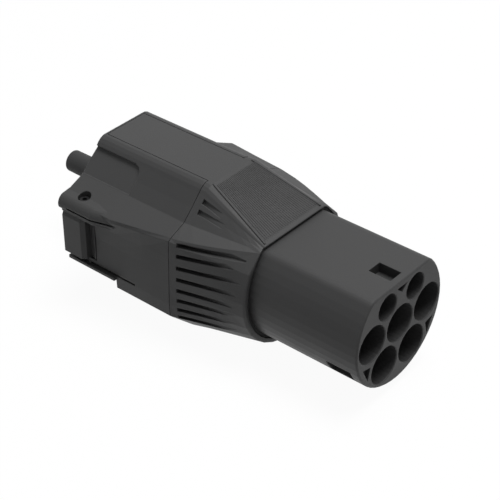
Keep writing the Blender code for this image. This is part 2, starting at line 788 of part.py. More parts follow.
def band(name, inner, outer, start, end, material=None):
    """A closed ring between two outlines of equal count, of a set length along the axis."""
    bm = bmesh.new()
    loops = []
    for outline, x in ((inner, start), (outer, start), (outer, end), (inner, end)):
        loops.append([bm.verts.new(point) for point in placed(outline, x)])
    for first, second in zip(loops, loops[1:] + loops[:1]):
        for index in range(len(first)):
            after = (index + 1) % len(first)
            bm.faces.new((first[index], first[after], second[after], second[index]))
    return add_object(name, bm, material, ROUND_SMOOTHING if material else None)


def make_seal():
    """The rubber ring in the nose's groove, which closes the collar's mouth."""
    start = EAR_X + SEAL_FROM_EARS + GAP
    depth = SEAL_DEPTH - GAP
    inner = dee(NOSE_RADIUS - depth, NOSE_FLAT - depth, NOSE_CORNER)
    outer = dee(NOSE_RADIUS + SEAL_STAND, NOSE_FLAT + SEAL_STAND, NOSE_CORNER)
    return band("nose_seal", inner, outer, start, start + SEAL_WIDTH - 2 * GAP, RUBBER)


# Pins and their retainer


def make_pin(name, place, radius, tip_setback):
    """A solid contact pin with a domed tip, a seating flange and a wire cup at its rear."""
    cup = radius + CUP_GROWTH
    bore = cup - CUP_WALL
    flange = radius + FLANGE_GROWTH
    flange_x = NOSE_BLOCK - FLANGE_LENGTH
    rear = NOSE_BLOCK + CUP_LENGTH
    profile = [
        (-(rear - CUP_BORE_DEPTH), bore),
        (-rear, bore),
        (-rear, cup),
        (-(NOSE_BLOCK - GAP), cup),
        (-(NOSE_BLOCK - GAP), flange),
        (-flange_x, flange),
        (-flange_x, radius),
        (-(tip_setback + radius), radius),
    ]
    profile += [(-(tip_setback + radius * back), radius * out) for back, out in PIN_TIP_SHARES]
    return turned(name, (FACE_X, *place), (1, 0, 0), profile, CONTACT_METAL, 14)


def make_pins():
    """Five power pins and two thinner signal pins."""
    for name, place in POWER_PLACES.items():
        make_pin(f"pin_{name}", place, POWER_PIN_RADIUS, PIN_TIP_SETBACK)
    for name, place in SIGNAL_PLACES.items():
        make_pin(f"pin_{name}", place, SIGNAL_PIN_RADIUS, SIGNAL_TIP_SETBACK)


def make_retainer():
    """The plate behind the pins' flanges, screwed to the nose block."""
    margin = NOSE_SKIRT + GAP
    outline = dee(NOSE_RADIUS - margin, NOSE_FLAT - margin, NOSE_CORNER)
    front = BLOCK_X - GAP
    back = front - RETAINER_THICKNESS
    plate = prism("pin_retainer", outline, back, front, INNER_PLASTIC)
    holes = []
    for places, radius in ((POWER_PLACES, POWER_PIN_RADIUS), (SIGNAL_PLACES, SIGNAL_PIN_RADIUS)):
        for place in places.values():
            reach = radius + CUP_GROWTH + GAP
            profile = [(-OVERRUN, reach), (RETAINER_THICKNESS + OVERRUN, reach)]
            holes.append(turned_rings((back, *place), (1, 0, 0), profile, 14))
    for place in RETAINER_SCREW_PLACES:
        profile = [(-OVERRUN, SCREW_RADIUS + GAP), (RETAINER_THICKNESS + OVERRUN, SCREW_RADIUS + GAP)]
        holes.append(turned_rings((back, *place), (1, 0, 0), profile, 12))
    cut(plate, several("retainer_hole_cutter", holes))
    for index, place in enumerate(RETAINER_SCREW_PLACES):
        length = RETAINER_THICKNESS + SCREW_GRIP
        make_screw(f"retainer_screw_{index + 1}", (back - GAP, *place), (1, 0, 0), length)


def make_screw(name, seat, along, length):
    """A round-headed screw whose head stands on its seat and whose shank runs along the direction."""
    head = SCREW_HEAD_RADIUS
    profile = [
        (-SCREW_HEAD_HEIGHT + SOCKET_DEPTH, SOCKET_RADIUS),
        (-SCREW_HEAD_HEIGHT, SOCKET_RADIUS),
        (-SCREW_HEAD_HEIGHT, head * SCREW_CROWN_SHARE),
        (-SCREW_HEAD_HEIGHT / 2, head),
        (0, head),
        (0, SCREW_RADIUS),
        (length - SCREW_RADIUS / 2, SCREW_RADIUS),
        (length, SCREW_RADIUS / 2),
    ]
    return turned(name, seat, along, profile, STEEL, 12, 2)


def make_nose_screws():
    """The four screws that hold the nose's ears to the collar shell."""
    for index, place in enumerate(EAR_PLACES):
        seat = (NOSE_BACK_X - GAP, *place)
        make_screw(f"nose_screw_{index + 1}", seat, (1, 0, 0), EAR_THICKNESS + SCREW_GRIP)


# Front shell


def collar_rings():
    """Rings of the collar's outer form, with the lip's edge rounded."""
    rings = [placed(whole(collar_half(share)), collar_x(share)) for share in STATION_SHARES]
    for share in LIP_SHARES:
        shrink = 1 - (LIP_ROUND / LIP_RADIUS) * (1 - math.sqrt(1 - share ** 2))
        outline = [(side * shrink, rise * shrink) for side, rise in lip_whole()]
        rings.append(placed(outline, LIP_X - LIP_ROUND + LIP_ROUND * share))
    return rings


def lip_whole():
    """The closed outline of the lip."""
    return whole(collar_half(1.0))


def collar_cavity():
    """Cutter of the hollow behind the nose's ears."""
    share = (EAR_X + GAP - SEAM_X) / (COLLAR_LENGTH - LIP_ROUND)
    rings = []
    for part in (0, 0.5, 1):
        outline = inside(collar_half(share * part), COLLAR_WALL)
        rings.append(placed(limited(outline, CAVITY_HALF, ROOF_RISE), collar_x(share * part)))
    hollow = spigot_outline(SPIGOT_WALL)
    ends = [placed(hollow, SEAM_X - SPIGOT_LENGTH - OVERRUN), placed(hollow, SEAM_X - GAP)]
    return loft("collar_cavity_cutter", ends + rings)


def spigot_outline(inset=0):
    """Outline of the spigot that enters the rear housing, or of its hollow."""
    outline = inside(seam_half(), HOUSING_WALL + GAP + inset)
    return limited(outline, None, ROOF_RISE - GAP - inset)


def vent_rings(sign, place, climb, length):
    """One long groove in the side wall: deepest at its rear end, climbing and fading out forwards."""
    start = SEAM_X + VENT_SETBACK
    low = VENT_TOP - VENT_FIELD * (1 - place) - VENT_HEIGHT
    rings = []
    for run, depth in ((0, VENT_DEPTH), (VENT_LENGTH * length, -GAP)):
        foot = low + VENT_CLIMB * climb * run / VENT_LENGTH
        top = foot + VENT_HEIGHT
        inner = wall_side(start + run, foot + VENT_HEIGHT / 2) - depth
        outer = BELLY_HALF + OVERRUN
        outline = [(sign * inner, foot), (sign * outer, foot), (sign * outer, top), (sign * inner, top)]
        rings.append(placed(outline, start + run))
    return rings


def high_vent_rings(sign, place, length):
    """One short groove in the facet between the crease and the top panel."""
    start = SEAM_X + VENT_SETBACK
    rings = []
    for run, depth in ((0, HIGH_VENT_DEPTH), (HIGH_VENT_LENGTH * length, -GAP)):
        half = collar_half((start + run - SEAM_X) / (COLLAR_LENGTH - LIP_ROUND))
        crease = Vector(half[len(LIP_ANGLES) + 1])
        roll = Vector(half[len(LIP_ANGLES) + 3])
        slope = (roll - crease).normalized()
        outward = Vector((slope.y, -slope.x))
        middle = crease.lerp(roll, place)
        outline = []
        for across, out in ((-1, -depth), (-1, OVERRUN), (1, OVERRUN), (1, -depth)):
            point = middle + slope * across * HIGH_VENT_HEIGHT / 2 + outward * out
            outline.append((sign * point.x, point.y))
        rings.append(placed(outline, start + run))
    return rings


def ridge_rings(sign):
    """One ridge along the edge of the sloped panel."""
    rings = []
    for share, grown in RIDGE_SHARES:
        x = PANEL_X + (LIP_X - LIP_ROUND - PANEL_X) * share
        middle = panel_half(x)
        half = RIDGE_WIDTH / 2 * grown
        crown = half * RIDGE_TOP_SHARE
        low = panel_rise(x) - RIDGE_ROOT
        high = panel_rise(x) + RIDGE_HEIGHT * grown
        outline = [(middle - half, low), (middle + half, low)]
        outline += [(middle + crown, high), (middle - crown, high)]
        rings.append(placed([(sign * side, rise) for side, rise in outline], x))
    return rings


def rib_pad():
    """The fan of low ribs on the sloped panel."""
    rings = []
    start = SEAM_X + RIB_FIELD_SETBACK
    end = LIP_X - RIB_FIELD_MARGIN
    for x, grown in ((start, -0.5), (start + RIB_RUN_IN, 1), (end - RIB_RUN_IN, 1), (end, -0.5)):
        half = panel_half(x) - RIB_SIDE_MARGIN
        top = panel_rise(x)
        pitch = 2 * half / RIB_COUNT
        outline = [(half, top - RIB_ROOT), (-half, top - RIB_ROOT)]
        for index in range(RIB_COUNT):
            left = -half + pitch * index
            for along, lift in RIB_PROFILE_SHARES:
                outline.append((left + pitch * along, top + RIB_HEIGHT * min(lift, grown)))
        rings.append(placed(outline, x))
    return loft("rib_tool", rings)


def make_front_shell():
    """The collar, its long top tongue and the spigot behind its seam, moulded in one piece."""
    shell = loft("front_shell", collar_rings(), SHELL_PLASTIC, BODY_SMOOTHING)
    spigot = prism("spigot_tool", spigot_outline(), SEAM_X - SPIGOT_LENGTH, SEAM_X + OVERRUN)
    join(shell, spigot)
    half = LID_HALF - GAP
    tongue = box(
        "tongue_tool",
        (TONGUE_X + GAP, -half, TOP_RISE - TONGUE_THICKNESS),
        (SEAM_X + OVERRUN / 2, half, TOP_RISE),
    )
    cut(shell, collar_cavity())
    join(shell, tongue)
    mouth = dee(MOUTH_RADIUS, MOUTH_FLAT, MOUTH_CORNER)
    cut(shell, prism("mouth_cutter", mouth, EAR_X - OVERRUN / 2, LIP_X + OVERRUN))
    vents = []
    for sign in (1, -1):
        vents += [vent_rings(sign, *shares) for shares in VENT_SHARES]
        vents += [high_vent_rings(sign, *shares) for shares in HIGH_VENT_SHARES]
    cut(shell, several("vent_cutter", vents))
    join(shell, several("ridge_tool", [ridge_rings(1), ridge_rings(-1)]))
    join(shell, rib_pad())
    holes = []
    for side, rise in EAR_PLACES:
        profile = [(-OVERRUN / 2, SCREW_RADIUS + GAP), (SCREW_GRIP + GAP, SCREW_RADIUS + GAP)]
        holes.append(turned_rings((EAR_X, side, rise), (1, 0, 0), profile, 12))
    cut(shell, several("shell_screw_cutter", holes))
    return shell


# Rear housing


def rear_x(rise):
    """The rear plane, which leans forward towards the bottom."""
    return REAR_X + REAR_LEAN * (TOP_RISE - rise) / (TOP_RISE + BASE_DROP)


def housing_rings():
    """Rings of the housing's outer form, with a small round at the rear edge."""
    seam = whole(seam_half())
    kink = whole(kink_half())
    middle = [mix(a, b, 0.5) for a, b in zip(seam, kink)]
    last = offset_outline(kink, RIM_ROUND)
    rings = [placed(seam, SEAM_X - GAP), placed(middle, (SEAM_X + KINK_X) / 2), placed(kink, KINK_X)]
    rings.append([Vector((rear_x(rise) + RIM_ROUND, side, rise)) for side, rise in kink])
    rings.append([Vector((rear_x(rise), side, rise)) for side, rise in last])
    return rings


def housing_inner(gap=0):
    """Inner outline of the housing's front part, or of what fits in it with a gap."""
    return limited(inside(seam_half(), HOUSING_WALL + gap), None, ROOF_RISE - gap)


def undercut_inner(gap=0):
    """Inner outline of the housing's rear part, drawn in above the undercut below."""
    reach = UNDERCUT_REACH - HOUSING_WALL - gap
    outward = Vector((math.sin(UNDERCUT_TURN), -math.cos(UNDERCUT_TURN)))
    points = []
    for side, rise in housing_inner(gap):
        point = Vector((abs(side), rise))
        point -= outward * max(0.0, point.dot(outward) - reach)
        points.append((math.copysign(point.x, side), point.y))
    return points


def undercut_rings(sign):
    """Cutter that draws the lower corner in behind the step, on one side."""
    outward = Vector((math.sin(UNDERCUT_TURN), -math.cos(UNDERCUT_TURN)))
    across = Vector((-outward.y, outward.x)) * BODY_REACH
    corners = [outward * reach + across * way for reach, way in UNDERCUT_CORNERS]
    outline = [(sign * point.x, point.y) for point in corners]
    return [placed(outline, REAR_X - OVERRUN), placed(outline, SEAM_X - UNDERCUT_FRONT)]


def bead_outline():
    """Outline of the rolled bead along the ledge's edge and of the flank below it, on the -Y side."""
    flank_top = SLIT_RISE + SLIT_WIDTH / 2
    outline = [(-BEAD_FLANK_HALF, BLOCK_LOW), (-BEAD_FLANK_HALF, flank_top)]
    for index in range(BEAD_STEPS + 1):
        angle = BEAD_START - BEAD_TURN * index / BEAD_STEPS
        side = BEAD_RADIUS * math.cos(angle) - BEAD_HALF
        outline.append((side, BEAD_RISE + BEAD_RADIUS * math.sin(angle)))
    outline.append((-LEDGE_HALF, LEDGE_RISE))
    outline.append((-LEDGE_HALF, BLOCK_LOW))
    return outline


def bead_rings():
    """The bead from the kink to the rear; at its front end it grows out of the wall."""
    outline = bead_outline()
    small = [(side + BEAD_SUNK, rise - GAP) for side, rise in outline]
    front = placed(small, KINK_X + RIM_ROUND)
    full = placed(outline, KINK_X - BEAD_RUN_IN)
    back = [Vector((rear_x(rise) + RIM_ROUND / 2, side, rise)) for side, rise in outline]
    return [front, full, back]


def lip_block_rings():
    """The low rail below the latch, from the rear forwards."""
    inner = WALL_HALF - HOUSING_WALL / 2
    outline = [
        (-inner, -LIP_BLOCK_TOP),
        (-LIP_BLOCK_HALF, -LIP_BLOCK_TOP),
        (-LIP_BLOCK_HALF, -(LIP_BLOCK_TOP + LIP_BLOCK_HEIGHT)),
        (-inner, -(LIP_BLOCK_TOP + LIP_BLOCK_HEIGHT)),
    ]
    back = [Vector((rear_x(rise) + RIM_ROUND / 2, side, rise)) for side, rise in outline]
    return [placed(outline, rear_x(-CHINE_DROP) + LIP_BLOCK_LENGTH), back]


def grip_rings(sign):
    """Cutter of the shallow finger recess below the top roll, from the rear forwards."""
    crease = Vector((CREASE_HALF, CREASE_RISE))
    roll = Vector((ROLL_HALF, ROLL_RISE))
    slope = (roll - crease).normalized()
    outward = Vector((slope.y, -slope.x))
    low = crease.lerp(roll, GRIP_FOOT_SHARE)
    front = REAR_X + GRIP_LENGTH
    rings = []
    for run, height in GRIP_END_SHARES:
        x = front - GRIP_RUN_IN * run
        top = crease.lerp(roll, height)
        depth = GRIP_DEPTH * height
        points = [low - outward * GAP, top - outward * depth]
        points += [top + outward * OVERRUN, low + outward * OVERRUN]
        rings.append(placed([(sign * point.x, point.y) for point in points], x))
    rings.append([Vector((REAR_X - OVERRUN, point.y, point.z)) for point in rings[-1]])
    return rings


def far_corner_rings():
    """Cutter that takes the ledge's outer corner off the +Y side, behind the kink."""
    start = SEAM_X - FAR_CUT_START
    slope = (CREASE_RISE - LEDGE_RISE) / (LEDGE_HALF - CREASE_HALF)
    edge_rise = LEDGE_RISE + (LEDGE_HALF - FAR_CUT_HALF) * slope
    reach = KINK_LEDGE_HALF + OVERRUN - FAR_CUT_HALF
    rings = []
    for x, shift in ((start + FAR_CUT_RUN * 2, reach), (start, 0), (REAR_X - OVERRUN, 0)):
        outline = [
            (FAR_CUT_HALF + shift, edge_rise),
            (FAR_CUT_HALF + shift + reach, edge_rise - reach),
            (FAR_CUT_HALF + shift + reach, edge_rise + reach),
            (FAR_CUT_HALF + shift, edge_rise + reach),
        ]
        rings.append(placed(outline, x))
    return rings


def latch_window():
    """Cutter of the opening that the latch fills, open at the rear."""
    return box(
        "window_cutter",
        (REAR_X - OVERRUN, -(LATCH_HALF + OVERRUN), -(LATCH_LOW + LATCH_SIDE_GAP)),
        (REAR_X + WINDOW_LENGTH, -(WALL_HALF - HOUSING_WALL - OVERRUN), BLOCK_LOW),
    )


def pin_bosses():
    """Blocks inside the side wall that carry the latch pin above and below the window."""
    sets = []
    inner = PIVOT_HALF - BOSS_REACH
    sill = -(LATCH_LOW + LATCH_SIDE_GAP)
    for low, high in ((BLOCK_LOW, PIN_HEAD_RISE), (sill - PIN_BLOCK, sill)):
        sets.append(box_rings(
            (PIVOT_X - BOSS_HALF_LENGTH, -PIVOT_HALF - GAP, low),
            (PIVOT_X + BOSS_HALF_LENGTH, -inner, high),
        ))
    return several("boss_tool", sets)


def pin_hole():
    """Cutter of the latch pin's stepped hole, down from the ledge."""
    bore = PIN_RADIUS + GAP
    low = -(LATCH_LOW + LATCH_SIDE_GAP + PIN_SEAT) - GAP
    profile = [(LEDGE_RISE + OVERRUN, PIN_HOLE_RADIUS), (PIN_HEAD_RISE, PIN_HOLE_RADIUS)]
    profile += [(PIN_HEAD_RISE, bore), (low, bore)]
    return turned("pin_hole_cutter", (PIVOT_X, -PIVOT_HALF, 0), (0, 0, 1), profile)


def slits():
    """Cutter of the two narrow grooves above and below the latch."""
    upper = box_rings(
        (SEAM_X - SLIT_FRONT - SLIT_LENGTH, -(LATCH_HALF + OVERRUN), SLIT_RISE),
        (SEAM_X - SLIT_FRONT, -(BEAD_FLANK_HALF - SLIT_DEPTH), SLIT_RISE + SLIT_WIDTH),
    )
    front = SEAM_X - LOW_SLIT_FRONT
    low = -(LOW_SLIT_DROP + SLIT_WIDTH)
    lower = box_rings(
        (front - LOW_SLIT_LENGTH, -(LATCH_HALF + OVERRUN), low),
        (front, -(WALL_HALF - SLIT_DEPTH), -LOW_SLIT_DROP),
    )
    return several("slit_cutter", [upper, lower])


def make_housing():
    """The rear housing: a tube open at both ends, with a rebate on top for the tongue."""
    housing = loft("rear_housing", housing_rings(), SHELL_PLASTIC, BODY_SMOOTHING)
    join(housing, loft("bead_tool", bead_rings()))
    cut(housing, several("undercut_cutter", [undercut_rings(1), undercut_rings(-1)]))
    join(housing, loft("lip_block_tool", lip_block_rings()))
    cut(housing, several("far_corner_cutter", [far_corner_rings()]))
    cut(housing, several("grip_cutter", [grip_rings(-1), grip_rings(1)]))
    step = SEAM_X - UNDERCUT_FRONT + HOUSING_WALL
    rings = [placed(undercut_inner(), REAR_X - OVERRUN), placed(undercut_inner(), step)]
    rings += [placed(housing_inner(), step + GAP), placed(housing_inner(), SEAM_X + OVERRUN)]
    cut(housing, loft("housing_cutter", rings))
    join(housing, pin_bosses())
    rebate = box_rings(
        (TONGUE_X, -LID_HALF, TOP_RISE - TONGUE_THICKNESS - GAP),
        (SEAM_X + OVERRUN, LID_HALF, TOP_RISE + OVERRUN),
    )
    cut(housing, several("rebate_cutter", [rebate]))
    opening = box_rings(
        (TONGUE_X + SHELF, -LID_HALF + SHELF, ROOF_RISE - OVERRUN),
        (SEAM_X + OVERRUN, LID_HALF - SHELF, TOP_RISE + OVERRUN),
    )
    cut(housing, several("roof_cutter", [opening]))
    cut(housing, latch_window())
    cut(housing, pin_hole())
    cut(housing, slits())
    return housing


# Side latch


def make_latch():
    """The rocking latch: an outer finger pad, a barrel on the pin and an inner arm with a catch."""
    pivot = Vector((PIVOT_X, -PIVOT_HALF, 0))
    rear = rear_x(0) + GAP
    front = rear + LATCH_LENGTH
    outer = -LATCH_HALF
    inner = -LATCH_INNER_HALF
    pad = [
        (rear, inner),
        (front, inner),
        (front, outer + LATCH_BEVEL),
        (front - LATCH_BEVEL, outer),
        (rear, outer),
    ]
    rings = []
    for rise in (-LATCH_LOW, LATCH_TOP - LATCH_BEVEL):
        rings.append([Vector((x, side, rise)) - pivot for x, side in pad])
    shrunk = [(x, max(side, outer + LATCH_BEVEL / 2)) for x, side in pad]
    rings.append([Vector((x, side, LATCH_TOP)) - pivot for x, side in shrunk])
    latch = loft("side_latch", rings, SHELL_PLASTIC, BODY_SMOOTHING)
    latch.location = pivot
    profile = [(-LATCH_LOW, BARREL_RADIUS), (LATCH_TOP, BARREL_RADIUS)]
    barrel = turned("barrel_tool", (0, 0, 0), (0, 0, 1), profile, None, 24)
    web_outer = PIVOT_HALF - WEB_HALF
    window_x = REAR_X + WINDOW_LENGTH - PIVOT_X
    web_rings = []
    for x, side in ((0, web_outer), (window_x - WEB_END_GAP, web_outer - WEB_SLOPE)):
        web_rings.append(box_rings((x, side, -LATCH_LOW), (x, side + WEB_THICKNESS, LATCH_TOP))[0])
    web = several("web_tool", [web_rings])
    arm_outer = PIVOT_HALF - ARM_HALF - ARM_THICKNESS
    arm = several("arm_tool", [box_rings(
        (-ARM_THICKNESS, 0, -ARM_HEIGHT / 2),
        (ARM_THICKNESS, arm_outer + ARM_THICKNESS, ARM_HEIGHT / 2),
    )])
    reach = several("reach_tool", [box_rings(
        (-ARM_THICKNESS, arm_outer, -ARM_HEIGHT / 2),
        (ARM_LENGTH, arm_outer + ARM_THICKNESS, ARM_HEIGHT / 2),
    )])
    catch = several("catch_tool", [box_rings(
        (ARM_LENGTH - ARM_THICKNESS, arm_outer - CATCH_DEPTH, -ARM_HEIGHT / 2),
        (ARM_LENGTH, arm_outer + ARM_THICKNESS / 2, ARM_HEIGHT / 2),
    )])
    bore = turned(
        "barrel_bore_cutter",
        (0, 0, 0),
        (0, 0, 1),
        [(-LATCH_LOW - OVERRUN, PIN_RADIUS + GAP), (LATCH_TOP + OVERRUN, PIN_RADIUS + GAP)],
    )
    for tool in (barrel, web, arm, reach, catch, bore):
        tool.location = pivot
    for tool in (barrel, web, arm, reach, catch):
        join(latch, tool)
    cut(latch, bore)
    return latch


def make_latch_pin():
    """The headed pin that the latch turns on, let in from the ledge."""
    low = -(LATCH_LOW + LATCH_SIDE_GAP + PIN_SEAT)
    seat = PIN_HEAD_RISE + GAP
    top = seat + PIN_HEAD_HEIGHT
    profile = [
        (top - SOCKET_DEPTH, SOCKET_RADIUS),
        (top, SOCKET_RADIUS),
        (top, PIN_HEAD_RADIUS * PIN_CROWN_SHARE),
        (top - PIN_HEAD_HEIGHT / 3, PIN_HEAD_RADIUS),
        (seat, PIN_HEAD_RADIUS),
        (seat, PIN_RADIUS),
        (low + PIN_RADIUS / 3, PIN_RADIUS),
        (low, PIN_RADIUS * PIN_END_SHARE),
    ]
    return turned("latch_pin", (PIVOT_X, -PIVOT_HALF, 0), (0, 0, 1), profile, DARK_STEEL, 16, 2)


def make_latch_spring():
    """The compression spring between the latch pad and its seat on the rear cover."""
    start = -LATCH_INNER_HALF + SPRING_WIRE + GAP
    end = -SPRING_SEAT_HALF - SPRING_WIRE - GAP
    steps = SPRING_TURNS * 10
    curve = bpy.data.curves.new("latch_spring", "CURVE")
    curve.dimensions = "3D"
    curve.bevel_depth = SPRING_WIRE
    curve.bevel_resolution = 0
    curve.use_fill_caps = True
    line = curve.splines.new("POLY")
    line.points.add(steps)
    centre = rear_x(0) + SPRING_FROM_REAR
    for index in range(steps + 1):
        angle = math.tau * SPRING_TURNS * index / steps
        side = start + (end - start) * index / steps
        place = (centre + SPRING_RADIUS * math.cos(angle), side, SPRING_RADIUS * math.sin(angle), 1)
        line.points[index].co = place
    curve.materials.append(STEEL)
    spring = bpy.data.objects.new("latch_spring", curve)
    bpy.context.scene.collection.objects.link(spring)
    spring.parent = AXIS
    return spring


# Rear cover, sleeve and clamp


def make_cover():
    """The plate that closes the rear, with the spring's seat and the cradle of the cable clamp."""
    outline = undercut_inner(GAP)
    front = COVER_X + COVER_THICKNESS
    cover = prism("rear_cover", outline, COVER_X, front, SHELL_PLASTIC)
    cut(cover, several("cover_window_cutter", [box_rings(
        (COVER_X - OVERRUN, -(WALL_HALF + OVERRUN), -(LATCH_LOW + PIN_BLOCK + LATCH_SIDE_GAP * 2)),
        (front + OVERRUN, -SPRING_SEAT_HALF, PIN_HEAD_RISE + LATCH_SIDE_GAP),
    )]))
    join(cover, several("seat_tool", [box_rings(
        (COVER_X, -SPRING_SEAT_HALF, -SPRING_SEAT_HEIGHT / 2),
        (front + SPRING_SEAT_REACH, -SPRING_SEAT_HALF + SPRING_SEAT_THICKNESS, SPRING_SEAT_HEIGHT / 2),
    )]))
    join(cover, several("cradle_tool", [box_rings(
        (front - COVER_THICKNESS / 2, -CRADLE_HALF, SLEEVE_RISE - CRADLE_DROP),
        (front + CRADLE_START + CRADLE_LENGTH, CRADLE_HALF, SLEEVE_RISE - GAP),
    )]))
    bore = SLEEVE_RADIUS + GAP
    flange = SLEEVE_FLANGE_RADIUS + GAP
    profile = [
        (COVER_X - OVERRUN, bore),
        (front, bore),
        (front, flange),
        (front + SLEEVE_FLANGE + 2 * GAP, flange),
        (front + SLEEVE_FLANGE + 2 * GAP, bore),
        (front + CRADLE_START + CRADLE_LENGTH + OVERRUN, bore),
    ]
    cut(cover, turned("sleeve_hole_cutter", (0, 0, SLEEVE_RISE), (1, 0, 0), profile, None, 28))
    holes = []
    middle = front + CRADLE_START + CRADLE_LENGTH / 2
    for sign in (1, -1):
        profile = [(OVERRUN, SCREW_RADIUS + GAP), (-SCREW_GRIP - GAP, SCREW_RADIUS + GAP)]
        holes.append(turned_rings((middle, sign * CLAMP_SCREW_SIDE, SLEEVE_RISE), (0, 0, 1), profile, 12))
    cut(cover, several("cradle_hole_cutter", holes))
    return cover


def make_sleeve():
    """The cable sleeve, which stands out behind the cover and is held by its flange."""
    front = COVER_X + COVER_THICKNESS
    profile = [
        (COVER_X - SLEEVE_REACH, SLEEVE_END_RADIUS - SLEEVE_EDGE),
        (COVER_X - SLEEVE_REACH + SLEEVE_EDGE, SLEEVE_END_RADIUS),
        (COVER_X, SLEEVE_RADIUS),
        (front + GAP, SLEEVE_RADIUS),
        (front + GAP, SLEEVE_FLANGE_RADIUS),
        (front + GAP + SLEEVE_FLANGE, SLEEVE_FLANGE_RADIUS),
        (front + GAP + SLEEVE_FLANGE, SLEEVE_RADIUS),
        (front + SLEEVE_TAIL, SLEEVE_RADIUS),
    ]
    return turned("cable_sleeve", (0, 0, SLEEVE_RISE), (1, 0, 0), profile, RUBBER, 28)


def make_clamp():
    """The saddle that presses the sleeve into the cradle, and its two screws."""
    start = COVER_X + COVER_THICKNESS + CRADLE_START
    low = SLEEVE_RISE
    clamp = box(
        "cable_clamp",
        (start, -CRADLE_HALF, low),
        (start + CRADLE_LENGTH, CRADLE_HALF, low + CLAMP_HEIGHT + CLAMP_BRIDGE),
        INNER_PLASTIC,
    )
    bore = SLEEVE_RADIUS + GAP
    profile = [(start - OVERRUN, bore), (start + CRADLE_LENGTH + OVERRUN, bore)]
    cut(clamp, turned("clamp_cutter", (0, 0, SLEEVE_RISE), (1, 0, 0), profile, None, 28))
    shoulder = low + CLAMP_HEIGHT / 2
    sets = []
    holes = []
    middle = start + CRADLE_LENGTH / 2
    high = low + SLEEVE_FLANGE_RADIUS + OVERRUN
    for sign in (1, -1):
        inner = CLAMP_SCREW_SIDE - SCREW_HEAD_RADIUS - GAP
        near, far = sorted((sign * inner, sign * (CRADLE_HALF + OVERRUN)))
        sets.append(box_rings(
            (start - OVERRUN, near, shoulder),
            (start + CRADLE_LENGTH + OVERRUN, far, high),
        ))
        profile = [(-OVERRUN, SCREW_RADIUS + GAP), (CLAMP_HEIGHT + OVERRUN, SCREW_RADIUS + GAP)]
        holes.append(turned_rings((middle, sign * CLAMP_SCREW_SIDE, low), (0, 0, 1), profile, 12))
    cut(clamp, several("clamp_step_cutter", sets))
    cut(clamp, several("clamp_hole_cutter", holes))
    for index, sign in enumerate((1, -1)):
        seat = (middle, sign * CLAMP_SCREW_SIDE, shoulder + GAP)
        make_screw(f"clamp_screw_{index + 1}", seat, (0, 0, -1), CLAMP_HEIGHT / 2 + SCREW_GRIP)


make_nose()
make_seal()
make_pins()
make_retainer()
make_nose_screws()
make_front_shell()
make_housing()
make_latch()
make_latch_pin()
make_latch_spring()
make_cover()
make_sleeve()
make_clamp()
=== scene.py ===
# %% [markdown]
# # A charging plug for an electric car, dressed for its portrait
# The solid model of the plug is already packed: nose, collar, rear housing, latch and
# everything inside. This lesson loads it as a fixed frame and gives it the finishes of
# the real thing: spark-eroded dark plastic, rubber, plated pins and steel. A few pieces
# that are easier to shape by hand are modelled on top.

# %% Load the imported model
import json
import math

import bmesh
import bpy
from mathutils import Matrix, Vector


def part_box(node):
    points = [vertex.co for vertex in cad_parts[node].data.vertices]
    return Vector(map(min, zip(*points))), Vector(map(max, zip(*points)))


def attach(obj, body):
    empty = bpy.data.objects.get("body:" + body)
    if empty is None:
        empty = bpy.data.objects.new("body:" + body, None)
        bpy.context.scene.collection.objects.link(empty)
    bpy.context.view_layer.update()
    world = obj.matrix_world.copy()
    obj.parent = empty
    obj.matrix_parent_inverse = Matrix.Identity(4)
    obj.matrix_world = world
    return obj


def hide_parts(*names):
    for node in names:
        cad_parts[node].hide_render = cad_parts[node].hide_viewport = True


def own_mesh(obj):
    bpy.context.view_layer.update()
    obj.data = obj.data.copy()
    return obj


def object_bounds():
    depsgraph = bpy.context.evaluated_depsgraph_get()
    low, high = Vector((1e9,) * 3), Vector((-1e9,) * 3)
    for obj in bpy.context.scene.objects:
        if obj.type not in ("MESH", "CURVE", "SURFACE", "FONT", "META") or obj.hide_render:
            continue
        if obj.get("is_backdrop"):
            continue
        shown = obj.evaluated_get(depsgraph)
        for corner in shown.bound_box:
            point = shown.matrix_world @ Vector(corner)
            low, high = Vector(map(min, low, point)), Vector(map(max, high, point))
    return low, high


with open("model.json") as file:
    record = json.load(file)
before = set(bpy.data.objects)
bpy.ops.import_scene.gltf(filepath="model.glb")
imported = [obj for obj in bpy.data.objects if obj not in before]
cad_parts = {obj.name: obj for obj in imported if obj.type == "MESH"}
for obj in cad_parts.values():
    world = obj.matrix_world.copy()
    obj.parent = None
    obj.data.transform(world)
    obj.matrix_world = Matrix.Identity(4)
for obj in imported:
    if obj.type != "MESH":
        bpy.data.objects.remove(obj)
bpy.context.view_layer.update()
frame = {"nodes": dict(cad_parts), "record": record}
nodes = frame["nodes"]

# %% [markdown]
# ## Small helpers
# Every later cell works on one selected object, so the selection is cleared first.
# `link` joins two sockets, and `node` adds a shader node with its settings in one line.

# %% Helpers for objects and for shader nodes
def deselect():
    """Leaves nothing selected, because an operator acts on all that is."""
    if bpy.context.object and bpy.context.object.mode != "OBJECT":
        bpy.ops.object.mode_set(mode="OBJECT")
    bpy.ops.object.select_all(action="DESELECT")


def node(tree, kind, settings=None, **values):
    """A shader node of a kind, with its settings and the values of its inputs."""
    made = tree.nodes.new(kind)
    for name, value in (settings or {}).items():
        setattr(made, name, value)
    for name, value in values.items():
        made.inputs[name.replace("_", " ")].default_value = value
    return made


def link(tree, source, target):
    """Joins an output socket to an input socket."""
    tree.links.new(source, target)

# %% [markdown]
# ## Grain: the first shared effect
# Moulded plastic copies its steel tool, and the tool was roughened with sparks. The
# surface is a field of tiny rounded pits, about a third of a millimetre apart, which
# scatter the light and make the plastic look soft and matt. A noise gives the pits and a
# second, slower one a faint cloudiness. The group puts out a height for the bump, and a
# slow value that the colour and the roughness can use.

